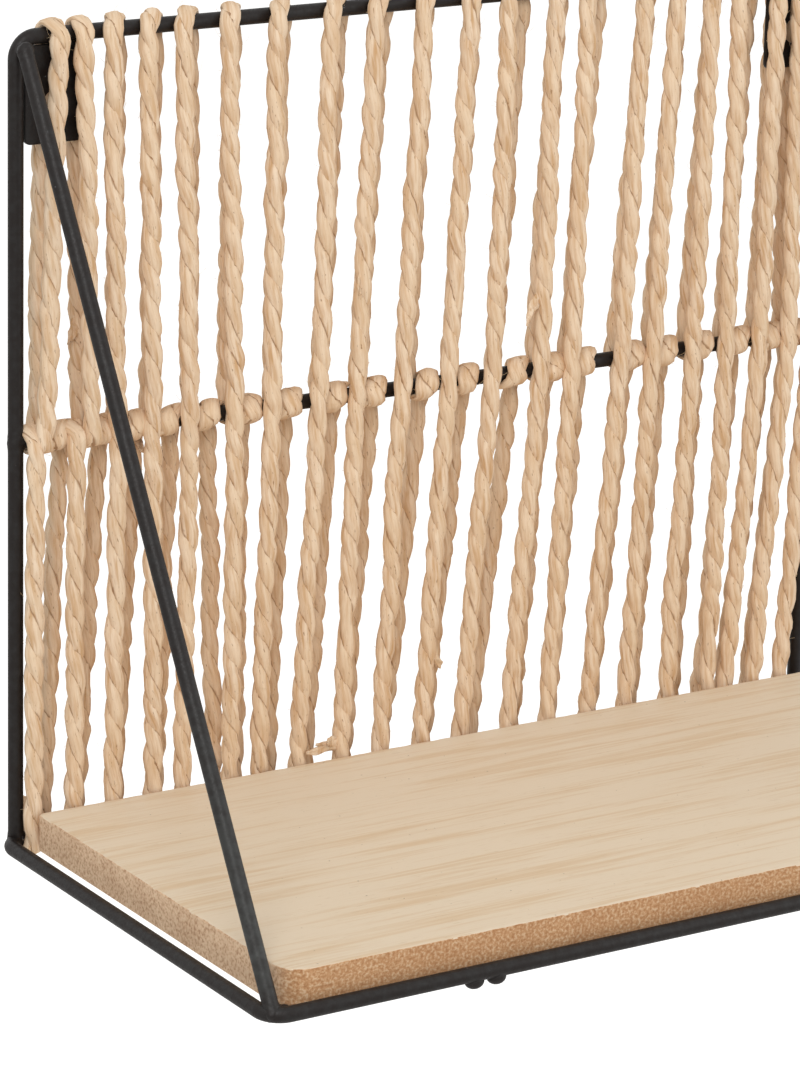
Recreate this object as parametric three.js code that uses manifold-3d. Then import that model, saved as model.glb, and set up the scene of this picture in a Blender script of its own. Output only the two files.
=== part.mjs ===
// Hanging rope shelf: a welded wire frame, a veneered board clipped into its bottom loop,
// and one length of paper rope wound over the three back rods.
// Millimetres, +X to the right, +Y towards the wall, +Z up. The origin lies midway between
// the two wall screws, at the height where the keyholes hang on them.
import * as THREE from "three";
import { mergeVertices } from "three/addons/utils/BufferGeometryUtils.js";
import Module from "manifold-3d";

// Wire frame, measured on the centrelines of its rods
const rodDiameter = 5;
const loopWidth = 322;
const loopDepth = 168;
const loopCornerRadius = 7;
const backInset = 4.1;
const backHeight = 263;
const backCornerRadius = 7;
const midRailHeight = 134;
const stayTopForward = 5.3;
const stayTopInset = 0.4;
const stayTopDrop = 3;
const weldGap = 0.3;
const footWeldDiameter = 6;
const stayWeldDiameter = 7.2;
const stayWeldRise = 2;

// Hanger plates, welded into the upper corners of the back frame
const plateWidth = 23;
const plateHeight = 31.2;
const plateThickness = 2;
const plateLowCornerRadius = 2;
const plateInnerCornerRadius = 1;
const keyholeInset = 11;
const keyholeHeadDrop = 18.7;
const keyholeHeadDiameter = 9;
const keyholeSlotWidth = 5;
const keyholeTravel = 10;

// Board: a fibreboard core between two veneers
const coreThickness = 11.2;
const veneerThickness = 0.6;
const boardSink = 0.7;
const boardSideGap = 4.8;
const boardFrontGap = 0.5;
const boardBackGap = 0.8;
const boardFrontCornerRadius = 9;
const boardBackCornerRadius = 2;

// Wire eyelets under the rods, and the screws that hold the board down on them
const wireDiameter = 2.5;
const eyeletPitch = 8;
const eyeletToe = 0.6;
const eyeletReach = 16;
const crankStart = 3.6;
const crankEnd = 7.6;
const seatGap = 0.3;
const frontEyeletSpacing = 170;
const screwDiameter = 3.5;
const screwLength = 11;
const screwTipLength = 3;
const screwTipDiameter = 0.8;
const screwHeadDiameter = 7.5;
const screwHeadHeight = 2.4;
const screwHeadCrown = 0.9;

// Rope: its places across the frame are shares of backSpan, from the left upright
const ropeDiameter = 6;
const ropeSeatGap = 0.3;
const ropeTail = 12;
const strandPitch = 15.3;
const strandEdge = 4.1;
const leastSelfGap = 0.4;
const bottomShares = [
  0.012, 0.059, 0.104, 0.153, 0.188, 0.249, 0.285, 0.333, 0.384, 0.431, 0.485,
  0.536, 0.597, 0.648, 0.703, 0.748, 0.814, 0.854, 0.884, 0.92, 0.961,
];
const midShares = [
  0.014, 0.06, 0.106, 0.149, 0.192, 0.241, 0.287, 0.343, 0.389, 0.441, 0.501,
  0.553, 0.616, 0.66, 0.719, 0.764, 0.815, 0.862, 0.904, 0.946, 0.988,
];
const topShares = [
  0.041, 0.068, 0.099, 0.14, 0.177, 0.233, 0.285, 0.347, 0.402, 0.459, 0.515,
  0.571, 0.627, 0.673, 0.737, 0.784, 0.828, 0.871, 0.914, 0.948, 0.973,
];
// The same behind the outer rods: where a strand leaves the top, and where the rope that becomes
// a strand comes down to the bottom. Two turns there run straight, beside the back eyelets
const topBackShares = [
  0.055, 0.09, 0.126, 0.168, 0.209, 0.256, 0.315, 0.38, 0.432, 0.488, 0.545,
  0.601, 0.652, 0.7, 0.764, 0.807, 0.851, 0.893, 0.932, 0.955, 0.978,
];
const bottomBackShares = [
  0.012, 0.039, 0.077, 0.123, 0.172, 0.246, 0.27, 0.309, 0.355, 0.404, 0.452,
  0.505, 0.565, 0.621, 0.67, 0.725, 0.814, 0.842, 0.882, 0.916, 0.955,
];
// How far the rope steps sideways behind the mid rail, as shares of its diameter
const midEntryShare = 0.4;
const midExitShare = 0.69;
// The stretch of each half turn round the mid rail in which the rope moves sideways
const wrapShiftShares = [0.2, 0.8];
// Lengths of rope nearer than this to each other, in diameters along it, are its own bends
const bendReachShare = 2.5;

// Facets
const rodSides = 16;
const wireSides = 8;
const ropeSides = 6;
const arcDivisions = 3;
const boardArcDivisions = 6;
const turnSteps = 5;
const wrapSteps = 10;

// Sizes that follow from those above
const rodRadius = rodDiameter / 2;
const wireRadius = wireDiameter / 2;
const ropeRadius = ropeDiameter / 2;
const backSpan = loopWidth - 2 * backInset;
const halfSpan = backSpan / 2;
const ropeFlat = ropeRadius * Math.cos(Math.PI / ropeSides);
const windRadius = (rodRadius + ropeSeatGap) / Math.cos(Math.PI / wrapSteps) + ropeFlat;
const ropeFace = windRadius + ropeFlat;
const strandCount = 1 + Math.round((backSpan - 2 * strandEdge) / strandPitch);
const coreLow = -boardSink + veneerThickness;
const plateTop = backHeight - rodRadius - weldGap;
const hangHeight = plateTop - keyholeHeadDrop + keyholeTravel;
const wireLow = -(rodRadius + weldGap + wireRadius);
const wireHigh = -(boardSink + seatGap + wireRadius);
const screwSeat = wireHigh - wireRadius - seatGap;

const wasm = await Module();
wasm.setup();

function solidOf(geometry) {
  const bare = geometry.clone();
  bare.deleteAttribute("normal");
  bare.deleteAttribute("uv");
  const merged = mergeVertices(bare);
  const vertProperties = Float32Array.from(merged.attributes.position.array);
  const triVerts = Uint32Array.from(merged.index.array);
  return new wasm.Manifold(new wasm.Mesh({ numProp: 3, vertProperties, triVerts }));
}

function geometryOf(solid) {
  const { vertProperties, triVerts } = solid.getMesh();
  const geometry = new THREE.BufferGeometry();
  geometry.setAttribute("position", new THREE.BufferAttribute(vertProperties, 3));
  geometry.setIndex(new THREE.BufferAttribute(triVerts, 1));
  const faceted = geometry.toNonIndexed();
  faceted.computeVertexNormals();
  return faceted;
}

// Direction of a path at one of its points: the mean of the runs before and after it
function directionAt(path, index, closed) {
  const count = path.length;
  const here = path[index];
  const direction = new THREE.Vector3();
  if (closed || index > 0) {
    const before = path[(index + count - 1) % count];
    direction.add(here.clone().sub(before).normalize());
  }
  if (closed || index < count - 1) {
    const after = path[(index + 1) % count];
    direction.add(after.clone().sub(here).normalize());
  }
  return direction.normalize();
}

// A round section carried along a path. Its first corner faces the given side.
function sweep(path, radius, sides, side, closed = false) {
  const positions = [];
  const indices = [];
  path.forEach((point, index) => {
    const along = directionAt(path, index, closed);
    const across = side.clone().addScaledVector(along, -side.dot(along)).normalize();
    const third = along.clone().cross(across);
    for (let corner = 0; corner < sides; corner += 1) {
      const angle = (corner * 2 * Math.PI) / sides;
      const place = point.clone();
      place.addScaledVector(across, radius * Math.cos(angle));
      place.addScaledVector(third, radius * Math.sin(angle));
      positions.push(place.x, place.y, place.z);
    }
  });
  const runs = closed ? path.length : path.length - 1;
  for (let run = 0; run < runs; run += 1) {
    const near = run * sides;
    const far = ((run + 1) % path.length) * sides;
    for (let corner = 0; corner < sides; corner += 1) {
      const next = (corner + 1) % sides;
      indices.push(near + corner, near + next, far + next);
      indices.push(near + corner, far + next, far + corner);
    }
  }
  if (!closed) {
    const end = (path.length - 1) * sides;
    for (let corner = 1; corner < sides - 1; corner += 1) {
      indices.push(0, corner + 1, corner);
      indices.push(end, end + corner, end + corner + 1);
    }
  }
  const geometry = new THREE.BufferGeometry();
  geometry.setAttribute("position", new THREE.Float32BufferAttribute(positions, 3));
  geometry.setIndex(indices);
  geometry.computeVertexNormals();
  return geometry;
}

// A rectangle with its own radius at each corner, counted from low left, anticlockwise
function roundedOutline(left, right, low, high, radii) {
  const [lowLeft, lowRight, highRight, highLeft] = radii;
  const outline = new THREE.Shape();
  outline.moveTo(left + lowLeft, low);
  outline.lineTo(right - lowRight, low);
  outline.absarc(right - lowRight, low + lowRight, lowRight, -Math.PI / 2, 0);
  outline.lineTo(right, high - highRight);
  outline.absarc(right - highRight, high - highRight, highRight, 0, Math.PI / 2);
  outline.lineTo(left + highLeft, high);
  outline.absarc(left + highLeft, high - highLeft, highLeft, Math.PI / 2, Math.PI);
  outline.lineTo(left, low + lowLeft);
  outline.absarc(left + lowLeft, low + lowLeft, lowLeft, Math.PI, 1.5 * Math.PI);
  return outline;
}

function loopPath() {
  const radii = Array(4).fill(loopCornerRadius);
  const outline = roundedOutline(-loopWidth / 2, loopWidth / 2, -loopDepth, 0, radii);
  const path = outline.getPoints(arcDivisions).map((point) => new THREE.Vector3(point.x, point.y, 0));
  if (path[0].distanceTo(path.at(-1)) < weldGap) {
    path.pop();
  }
  return path;
}

function backFramePath() {
  const shoulder = backHeight - backCornerRadius;
  const inner = halfSpan - backCornerRadius;
  const outline = new THREE.Path();
  outline.moveTo(-halfSpan, 0);
  outline.lineTo(-halfSpan, shoulder);
  outline.absarc(-inner, shoulder, backCornerRadius, Math.PI, Math.PI / 2, true);
  outline.lineTo(inner, backHeight);
  outline.absarc(inner, shoulder, backCornerRadius, Math.PI / 2, 0, true);
  outline.lineTo(halfSpan, 0);
  return outline.getPoints(arcDivisions).map((point) => new THREE.Vector3(point.x, 0, point.y));
}

const axisX = new THREE.Vector3(1, 0, 0);
const axisY = new THREE.Vector3(0, 1, 0);
const axisZ = new THREE.Vector3(0, 0, 1);

function loopRod(radius) {
  return sweep(loopPath(), radius, rodSides, axisZ, true);
}

function backRod(radius) {
  return sweep(backFramePath(), radius, rodSides, axisY);
}

// What a piece that is welded to the loop or the back frame has to stay clear of
function loopClearance() {
  return solidOf(loopRod(rodRadius + weldGap));
}

function backClearance() {
  return solidOf(backRod(rodRadius + weldGap));
}

function weldBead(diameter, place) {
  const bead = new THREE.SphereGeometry(diameter / 2, rodSides, rodSides / 2);
  bead.rotateX(Math.PI / 2);
  bead.translate(place.x, place.y, place.z);
  return solidOf(bead);
}

// The inverted U of the back: its feet are coped over the loop and stand on small weld beads
function backFrame() {
  let frame = solidOf(backRod(rodRadius));
  for (const foot of [-halfSpan, halfSpan]) {
    frame = frame.add(weldBead(footWeldDiameter, new THREE.Vector3(foot, 0, rodRadius / 2)));
  }
  return geometryOf(frame.subtract(loopClearance()));
}

function midRail() {
  const ends = [-halfSpan, halfSpan].map((x) => new THREE.Vector3(x, 0, midRailHeight));
  const rail = solidOf(sweep(ends, rodRadius, rodSides, axisY));
  return geometryOf(rail.subtract(backClearance()));
}

// One sloping stay, from the middle of the loop's front corner to the front of the top corner
function diagonal(side) {
  const cornerShift = loopCornerRadius * (1 - Math.SQRT1_2);
  const footX = side * (loopWidth / 2 - cornerShift);
  const foot = new THREE.Vector3(footX, -loopDepth + cornerShift, 0);
  const topX = side * (halfSpan - stayTopInset);
  const top = new THREE.Vector3(topX, -stayTopForward, backHeight - stayTopDrop);
  const along = top.clone().sub(foot).normalize();
  const footBead = foot.clone().addScaledVector(along, stayWeldRise);
  const topBead = top.clone().addScaledVector(along, -stayWeldRise);
  let stay = solidOf(sweep([foot, top], rodRadius, rodSides, axisX));
  stay = stay.add(weldBead(stayWeldDiameter, footBead));
  stay = stay.add(weldBead(footWeldDiameter, topBead));
  return geometryOf(stay.subtract(loopClearance()).subtract(backClearance()));
}

// A round hole that a screw head passes, running up into the slot that it hangs in
function keyhole(x, z) {
  const slot = keyholeSlotWidth / 2;
  const head = keyholeHeadDiameter / 2;
  const mouth = Math.acos(slot / head);
  const hole = new THREE.Path();
  hole.moveTo(x + slot, z + head * Math.sin(mouth));
  hole.lineTo(x + slot, z + keyholeTravel);
  hole.absarc(x, z + keyholeTravel, slot, 0, Math.PI);
  hole.lineTo(x - slot, z + head * Math.sin(mouth));
  hole.absarc(x, z, head, Math.PI - mouth, 2 * Math.PI + mouth);
  return hole;
}

function hangerPlate(side) {
  const outerEdge = side * (halfSpan - rodRadius - weldGap);
  const innerEdge = outerEdge - side * plateWidth;
  const outerRadius = backCornerRadius - rodRadius - weldGap;
  const highRadii = side < 0 ? [plateInnerCornerRadius, outerRadius] : [outerRadius, plateInnerCornerRadius];
  const radii = [plateLowCornerRadius, plateLowCornerRadius, ...highRadii];
  const left = Math.min(outerEdge, innerEdge);
  const outline = roundedOutline(left, left + plateWidth, plateTop - plateHeight, plateTop, radii);
  outline.holes.push(keyhole(outerEdge - side * keyholeInset, plateTop - keyholeHeadDrop));
  const options = { depth: plateThickness, bevelEnabled: false, curveSegments: boardArcDivisions };
  const plate = new THREE.ExtrudeGeometry(outline, options);
  plate.rotateX(Math.PI / 2);
  plate.translate(0, plateThickness / 2, 0);
  return plate;
}

function boardLayer(low, thickness) {
  const halfWidth = loopWidth / 2 - rodRadius - boardSideGap;
  const front = -loopDepth + rodRadius + boardFrontGap;
  const back = -ropeFace - boardBackGap;
  const frontRadii = [boardFrontCornerRadius, boardFrontCornerRadius];
  const backRadii = [boardBackCornerRadius, boardBackCornerRadius];
  const outline = roundedOutline(-halfWidth, halfWidth, front, back, [...frontRadii, ...backRadii]);
  const options = { depth: thickness, bevelEnabled: false, curveSegments: boardArcDivisions };
  const layer = new THREE.ExtrudeGeometry(outline, options);
  layer.translate(0, 0, low);
  return layer;
}

// A layer of the board that the four screws run into or through
function drilledLayer(low, thickness) {
  let layer = solidOf(boardLayer(low, thickness));
  for (const { x, rodY, inward } of eyeletPlaces()) {
    const depth = screwLength + seatGap;
    const pilot = new THREE.CylinderGeometry(
      screwDiameter / 2 + seatGap, screwDiameter / 2 + seatGap, depth, rodSides);
    pilot.rotateX(Math.PI / 2);
    pilot.translate(x, rodY + inward * eyeletReach, screwSeat + depth / 2);
    layer = layer.subtract(solidOf(pilot));
  }
  return geometryOf(layer);
}

// Middle of the widest gap between two turns under the bottom rod, in one half of the frame
function widestGap(side) {
  let widest = { width: 0 };
  for (let strand = 1; strand < strandCount; strand += 1) {
    const [low, high] = [strand - 1, strand].map((one) => acrossAt(bottomShares, one));
    const middle = (low + high) / 2;
    if (middle * side > 0 && high - low > widest.width) {
      widest = { width: high - low, middle };
    }
  }
  return widest.middle;
}

// Where the eyelets sit: the back ones share their rod with the rope, where it leaves most room
function eyeletPlaces() {
  const sides = [-1, 1];
  const front = sides.map((side) => ({ x: (side * frontEyeletSpacing) / 2, rodY: -loopDepth, inward: 1 }));
  const back = sides.map((side) => ({ x: widestGap(side), rodY: 0, inward: -1 }));
  return [...front, ...back];
}

// A U of wire: its round ends lie under the rod, and its eye is cranked up to the board
function eyelet() {
  const half = eyeletPitch / 2;
  const leg = [
    [-eyeletToe, wireLow],
    [crankStart, wireLow],
    [crankEnd, wireHigh],
    [eyeletReach, wireHigh],
  ];
  const legAt = (x) => leg.map(([y, z]) => new THREE.Vector3(x, y, z));
  const eye = [];
  for (let step = 1; step < wireSides; step += 1) {
    const angle = (step * Math.PI) / wireSides;
    const x = half * Math.cos(angle);
    eye.push(new THREE.Vector3(x, eyeletReach + half * Math.sin(angle), wireHigh));
  }
  const path = [...legAt(half), ...eye, ...legAt(-half).reverse()];
  let wire = solidOf(sweep(path, wireRadius, wireSides, axisZ));
  for (const end of [path[0], path.at(-1)]) {
    const tip = new THREE.SphereGeometry(wireRadius, wireSides, wireSides);
    tip.translate(end.x, end.y, end.z);
    wire = wire.add(solidOf(tip));
  }
  return geometryOf(wire);
}

// A pan-head screw standing on its head, turned about Z, with its head's seat at zero
function screw() {
  const shank = screwDiameter / 2;
  const head = screwHeadDiameter / 2;
  const profile = [
    [0, -screwHeadHeight],
    [head - screwHeadCrown, -screwHeadHeight],
    [head, -screwHeadHeight + screwHeadCrown],
    [head, 0],
    [shank, 0],
    [shank, screwLength - screwTipLength],
    [screwTipDiameter / 2, screwLength],
    [0, screwLength],
  ];
  const points = profile.map(([radius, height]) => new THREE.Vector2(radius, height));
  const turned = new THREE.LatheGeometry(points, rodSides);
  turned.rotateX(Math.PI / 2);
  return turned;
}

function shareAt(shares, way) {
  const place = way * (shares.length - 1);
  const low = Math.min(Math.floor(place), shares.length - 2);
  return THREE.MathUtils.lerp(shares[low], shares[low + 1], place - low);
}

// Place of a strand across the frame, by the table of the height that it is wanted at
function acrossAt(shares, strand) {
  return -halfSpan + backSpan * shareAt(shares, strand / (strandCount - 1));
}

// Points round a rod from one angle to another, counted from its front over its top
function turnAround(height, fromAngle, toAngle, steps, acrossOf) {
  const points = [];
  for (let step = 0; step <= steps; step += 1) {
    const part = step / steps;
    const angle = THREE.MathUtils.lerp(fromAngle, toAngle, part);
    const y = -windRadius * Math.cos(angle);
    const z = height + windRadius * Math.sin(angle);
    points.push(new THREE.Vector3(acrossOf(part), y, z));
  }
  return points;
}

// The wrap round the mid rail: in behind, under, up the front between two strands, over, out behind
function midWrap(here, next) {
  const entry = here + midEntryShare * ropeDiameter;
  const middle = (here + next) / 2;
  const exit = next - midExitShare * ropeDiameter;
  const [shiftStart, shiftEnd] = wrapShiftShares;
  const acrossOf = (part) => {
    const first = part < 0.5;
    const halfTurn = first ? 2 * part : 2 * part - 1;
    const shift = THREE.MathUtils.smootherstep(halfTurn, shiftStart, shiftEnd);
    return first ? THREE.MathUtils.lerp(entry, middle, shift) : THREE.MathUtils.lerp(middle, exit, shift);
  };
  return turnAround(midRailHeight, Math.PI, 3 * Math.PI, wrapSteps, acrossOf);
}

// The rope's whole route: each strand comes round the bottom rod and goes up the front,
// over the top rod and down behind to its wrap on the mid rail, then down to the next strand
function ropeRoute() {
  const route = [];
  for (let strand = 0; strand < strandCount; strand += 1) {
    const mid = acrossAt(midShares, strand);
    const [below, bottom] = [bottomBackShares, bottomShares].map((shares) => acrossAt(shares, strand));
    const [top, behind] = [topShares, topBackShares].map((shares) => acrossAt(shares, strand));
    const intoFront = (part) => THREE.MathUtils.lerp(below, bottom, part);
    const intoBack = (part) => THREE.MathUtils.lerp(top, behind, part);
    route.push(...turnAround(0, Math.PI, 2 * Math.PI, turnSteps, intoFront));
    route.push(new THREE.Vector3(mid, -windRadius, midRailHeight));
    route.push(...turnAround(backHeight, 0, Math.PI, turnSteps, intoBack));
    if (strand < strandCount - 1) {
      route.push(...midWrap(mid, acrossAt(midShares, strand + 1)));
    }
  }
  const start = route[0].clone().addScaledVector(axisZ, ropeTail);
  const end = route.at(-1).clone().addScaledVector(axisZ, -ropeTail);
  return [start, ...route, end];
}

// Points a quarter of a diameter apart along the route, each with its distance from the start
function routeSamples(route) {
  const spacing = ropeDiameter / 4;
  const samples = [];
  let travelled = 0;
  for (let index = 1; index < route.length; index += 1) {
    const length = route[index].distanceTo(route[index - 1]);
    const parts = Math.ceil(length / spacing);
    for (let part = 0; part < parts; part += 1) {
      const point = route[index - 1].clone().lerp(route[index], part / parts);
      samples.push({ point, travelled: travelled + (length * part) / parts });
    }
    travelled += length;
  }
  return { samples, length: travelled };
}

// Least gap between lengths of the rope that aren't parts of one bend
function selfGap(samples) {
  const apart = bendReachShare * ropeDiameter;
  let least = Infinity;
  samples.forEach((one, index) => {
    for (let other = index + 1; other < samples.length; other += 1) {
      if (samples[other].travelled - one.travelled > apart) {
        least = Math.min(least, one.point.distanceToSquared(samples[other].point));
      }
    }
  });
  return Math.sqrt(least) - ropeDiameter;
}

function ropeWinding() {
  const route = ropeRoute();
  const { samples, length } = routeSamples(route);
  const gap = selfGap(samples);
  const verdict = gap > leastSelfGap ? "clear of itself" : "too close to itself";
  console.log(`rope: ${(length / 1000).toFixed(2)} m, least gap ${gap.toFixed(2)} mm, ${verdict}`);
  return sweep(route, ropeRadius, ropeSides, axisX);
}

// Finishes
const finishes = {
  paintedSteel: { color: 0x26282a, roughness: 0.45, metalness: 0.35 },
  zincSteel: { color: 0xb9bcc0, roughness: 0.35, metalness: 0.9 },
  fibreboard: { color: 0xb98a63, roughness: 0.9, metalness: 0 },
  woodVeneer: { color: 0xdec9a9, roughness: 0.65, metalness: 0 },
  paperRope: { color: 0xd9b68a, roughness: 0.9, metalness: 0 },
};

function piece(name, geometry, finish) {
  const mesh = new THREE.Mesh(geometry, new THREE.MeshStandardMaterial(finish));
  mesh.name = name;
  return mesh;
}

function wireFrame() {
  const frame = new THREE.Group();
  frame.add(piece("bottom_loop", loopRod(rodRadius), finishes.paintedSteel));
  frame.add(piece("back_frame", backFrame(), finishes.paintedSteel));
  frame.add(piece("mid_rail", midRail(), finishes.paintedSteel));
  for (const [word, side] of [["left", -1], ["right", 1]]) {
    frame.add(piece(`${word}_diagonal`, diagonal(side), finishes.paintedSteel));
    frame.add(piece(`${word}_hanger_plate`, hangerPlate(side), finishes.paintedSteel));
  }
  return frame;
}

function board() {
  const layers = new THREE.Group();
  const coreTop = coreLow + coreThickness;
  layers.add(piece("bottom_veneer", drilledLayer(-boardSink, veneerThickness), finishes.woodVeneer));
  layers.add(piece("shelf_core", drilledLayer(coreLow, coreThickness), finishes.fibreboard));
  layers.add(piece("top_veneer", boardLayer(coreTop, veneerThickness), finishes.woodVeneer));
  return layers;
}

function fasteners() {
  const group = new THREE.Group();
  const names = ["front_left", "front_right", "back_left", "back_right"];
  eyeletPlaces().forEach(({ x, rodY, inward }, index) => {
    const place = new THREE.Group();
    place.position.set(x, rodY, 0);
    place.rotation.z = inward > 0 ? 0 : Math.PI;
    const pin = piece(`${names[index]}_screw`, screw(), finishes.zincSteel);
    pin.position.set(0, eyeletReach, screwSeat);
    place.add(piece(`${names[index]}_eyelet`, eyelet(), finishes.paintedSteel));
    place.add(pin);
    group.add(place);
  });
  return group;
}

const shelf = new THREE.Group();
shelf.position.z = -hangHeight;
shelf.add(wireFrame());
shelf.add(board());
shelf.add(fasteners());
shelf.add(piece("rope_winding", ropeWinding(), finishes.paperRope));

export default shelf;
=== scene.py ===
"""Looks for a hanging rope shelf: painted wire frame, veneered board, and a paper rope winding.

Sizes are in millimetres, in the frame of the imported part: +X to the right, +Y towards the
wall, +Z up, with the origin between the two wall screws. Meshes are made in metres.
"""

import logging
import math
from collections.abc import Callable, Iterable
from dataclasses import dataclass
from enum import Enum
from typing import Any

import bmesh
import bpy
from mathutils import Matrix, Vector, noise

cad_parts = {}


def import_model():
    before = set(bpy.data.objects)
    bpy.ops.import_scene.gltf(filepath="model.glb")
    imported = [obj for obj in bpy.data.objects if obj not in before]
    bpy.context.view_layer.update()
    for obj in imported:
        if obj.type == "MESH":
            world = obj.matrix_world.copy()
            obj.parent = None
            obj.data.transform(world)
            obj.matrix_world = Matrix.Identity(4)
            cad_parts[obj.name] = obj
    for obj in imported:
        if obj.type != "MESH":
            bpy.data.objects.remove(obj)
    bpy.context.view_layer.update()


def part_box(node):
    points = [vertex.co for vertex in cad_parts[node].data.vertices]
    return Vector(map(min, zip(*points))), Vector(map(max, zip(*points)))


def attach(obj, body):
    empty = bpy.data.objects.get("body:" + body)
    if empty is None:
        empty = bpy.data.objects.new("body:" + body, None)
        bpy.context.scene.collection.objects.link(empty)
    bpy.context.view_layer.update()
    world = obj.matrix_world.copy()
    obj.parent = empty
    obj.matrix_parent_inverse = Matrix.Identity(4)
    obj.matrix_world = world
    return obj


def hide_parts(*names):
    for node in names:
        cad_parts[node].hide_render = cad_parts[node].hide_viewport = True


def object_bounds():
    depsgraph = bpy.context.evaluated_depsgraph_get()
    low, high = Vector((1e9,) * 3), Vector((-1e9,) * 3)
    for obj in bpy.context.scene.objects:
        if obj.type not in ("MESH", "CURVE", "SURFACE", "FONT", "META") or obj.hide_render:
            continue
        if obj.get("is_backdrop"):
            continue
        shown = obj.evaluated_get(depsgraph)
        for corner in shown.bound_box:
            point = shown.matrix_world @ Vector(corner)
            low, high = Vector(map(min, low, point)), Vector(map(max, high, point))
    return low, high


MM = 0.001
HANG_HEIGHT = 251.5  # from the loop's rod up to the wall screws, where the origin lies
LOG = logging.getLogger("rope_shelf")

Inputs = dict[str | int, Any]  # for each input, by name or number, a value or an output
Material = bpy.types.Material
Object = bpy.types.Object
Socket = bpy.types.NodeSocket
Tree = bpy.types.NodeTree


class Side(Enum):
    """The left or the right half of the shelf, by the sign of X."""

    LEFT = -1
    RIGHT = 1


class Slot(Enum):
    """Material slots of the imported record."""

    FRAME = "frame_paint"
    ZINC = "screw_zinc"
    CORE = "fibreboard"
    VENEER = "wood_veneer"
    ROPE = "paper_rope"


SOCKETS: dict[type, str] = {
    float: "NodeSocketFloat",
    int: "NodeSocketInt",
    Material: "NodeSocketMaterial",
    Object: "NodeSocketObject",
}


def srgb(colour: str) -> tuple[float, float, float, float]:
    """Turns an sRGB hex colour into linear RGBA.

    Args:
        colour: six hex digits after a hash sign.

    Returns:
        Linear red, green and blue, with an alpha of 1.
    """
    channels = [int(colour[start:start + 2], 16) / 255 for start in (1, 3, 5)]
    linear = [c / 12.92 if c <= 0.04045 else ((c + 0.055) / 1.055) ** 2.4 for c in channels]
    return linear[0], linear[1], linear[2], 1.0


def feed(tree: Tree, node: bpy.types.Node, inputs: Inputs) -> None:
    """Sets some inputs of a node.

    Args:
        tree: shader or geometry tree that holds the node.
        node: the node.
        inputs: for each input, by name or number, a value or the output that feeds it.
    """
    for key, value in inputs.items():
        if isinstance(value, Socket):
            tree.links.new(value, node.inputs[key])
        else:
            node.inputs[key].default_value = value


def add_node(tree: Tree, kind: str, inputs: Inputs | None = None,
             **settings: Any) -> bpy.types.Node:
    """Adds one node to a tree, with its settings, values and links.

    Args:
        tree: shader or geometry tree that takes the node.
        kind: type of the node.
        inputs: for each input, by name or number, a value or the output that feeds it.
        settings: properties of the node.

    Returns:
        The new node.
    """
    node = tree.nodes.new(kind)
    for name, value in settings.items():
        setattr(node, name, value)
    feed(tree, node, inputs or {})
    return node


def place(x: float, y: float, z: float) -> Vector:
    """Point in metres from millimetres, with Z counted from the loop's rod."""
    return Vector((x, y, z - HANG_HEIGHT)) * MM


def smooth(part: float) -> float:
    """Smoothstep of a share from 0 to 1, held at its ends."""
    part = min(max(part, 0.0), 1.0)
    return part * part * (3 - 2 * part)


def rounded(low: tuple[float, float], high: tuple[float, float], radii: tuple[float, ...], steps: int,
            outset: float = 0.0) -> list[tuple[float, float]]:
    """Outline of a rectangle with round corners, anticlockwise from its lower left corner.

    Args:
        low: its lowest corner.
        high: its highest corner.
        radii: radius of each corner, in the outline's order.
        steps: steps round each corner.
        outset: how far the outline is moved outwards.

    Returns:
        The outline's points.
    """
    ends = ((low[0], low[1], 1, 1), (high[0], low[1], -1, 1),
            (high[0], high[1], -1, -1), (low[0], high[1], 1, -1))
    points = []
    for number, ((x, y, along, up), radius) in enumerate(zip(ends, radii)):
        for step in range(steps + 1):
            angle = math.pi * (1 + number / 2 + step / (2 * steps))
            points.append((x + along * radius + (radius + outset) * math.cos(angle),
                           y + up * radius + (radius + outset) * math.sin(angle)))
    return points


def linked(name: str, data: bpy.types.ID) -> Object:
    """Makes an object of a mesh, a curve, a lamp or a camera, and links it to the scene.

    Args:
        name: the object's name.
        data: what the object shows.

    Returns:
        The object.
    """
    made = bpy.data.objects.new(name, data)
    bpy.context.scene.collection.objects.link(made)
    return made


def mesh_object(name: str, points: Iterable[Vector], faces: Iterable[Iterable[int]] = (),
                edges: Iterable[tuple[int, int]] = ()) -> Object:
    """Makes an object from points, faces and edges.

    Args:
        name: the object's name.
        points: its points, in metres.
        faces: for each face, the numbers of its points.
        edges: for each loose edge, the numbers of its ends.

    Returns:
        The object.
    """
    mesh = bpy.data.meshes.new(name)
    mesh.from_pydata([tuple(point) for point in points], list(edges), [list(face) for face in faces])
    return linked(name, mesh)


def path_object(name: str, points: list[Vector], closed: bool = False) -> Object:
    """Makes a mesh of edges along a path, which a tree turns into a curve.

    Args:
        name: the object's name.
        points: the path's points, in metres.
        closed: whether the path comes back to its start.

    Returns:
        The object.
    """
    edges = [(index, index + 1) for index in range(len(points) - 1)]
    if closed:
        edges.append((len(points) - 1, 0))
    return mesh_object(name, points, edges=edges)


def skin(shape: bmesh.types.BMesh, rows: list[list[bmesh.types.BMVert]], closed: bool = True) -> None:
    """Covers rows of points with faces.

    Args:
        shape: mesh that holds the points.
        rows: the rows in order, with as many points in each.
        closed: whether the rows are rings, of which the first and the last get a cap.
    """
    count = len(rows[0])
    for lower, upper in zip(rows, rows[1:]):
        for index in range(count if closed else count - 1):
            after = (index + 1) % count
            shape.faces.new((lower[index], lower[after], upper[after], upper[index]))
    if closed:
        shape.faces.new(list(reversed(rows[0])))
        shape.faces.new(rows[-1])


def from_bmesh(name: str, shape: bmesh.types.BMesh) -> Object:
    """Turns a bmesh into an object with its normals outwards.

    Args:
        name: the object's name.
        shape: the bmesh; it is freed.

    Returns:
        The object.
    """
    bmesh.ops.recalc_face_normals(shape, faces=shape.faces)
    mesh = bpy.data.meshes.new(name)
    shape.to_mesh(mesh)
    shape.free()
    return linked(name, mesh)


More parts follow.
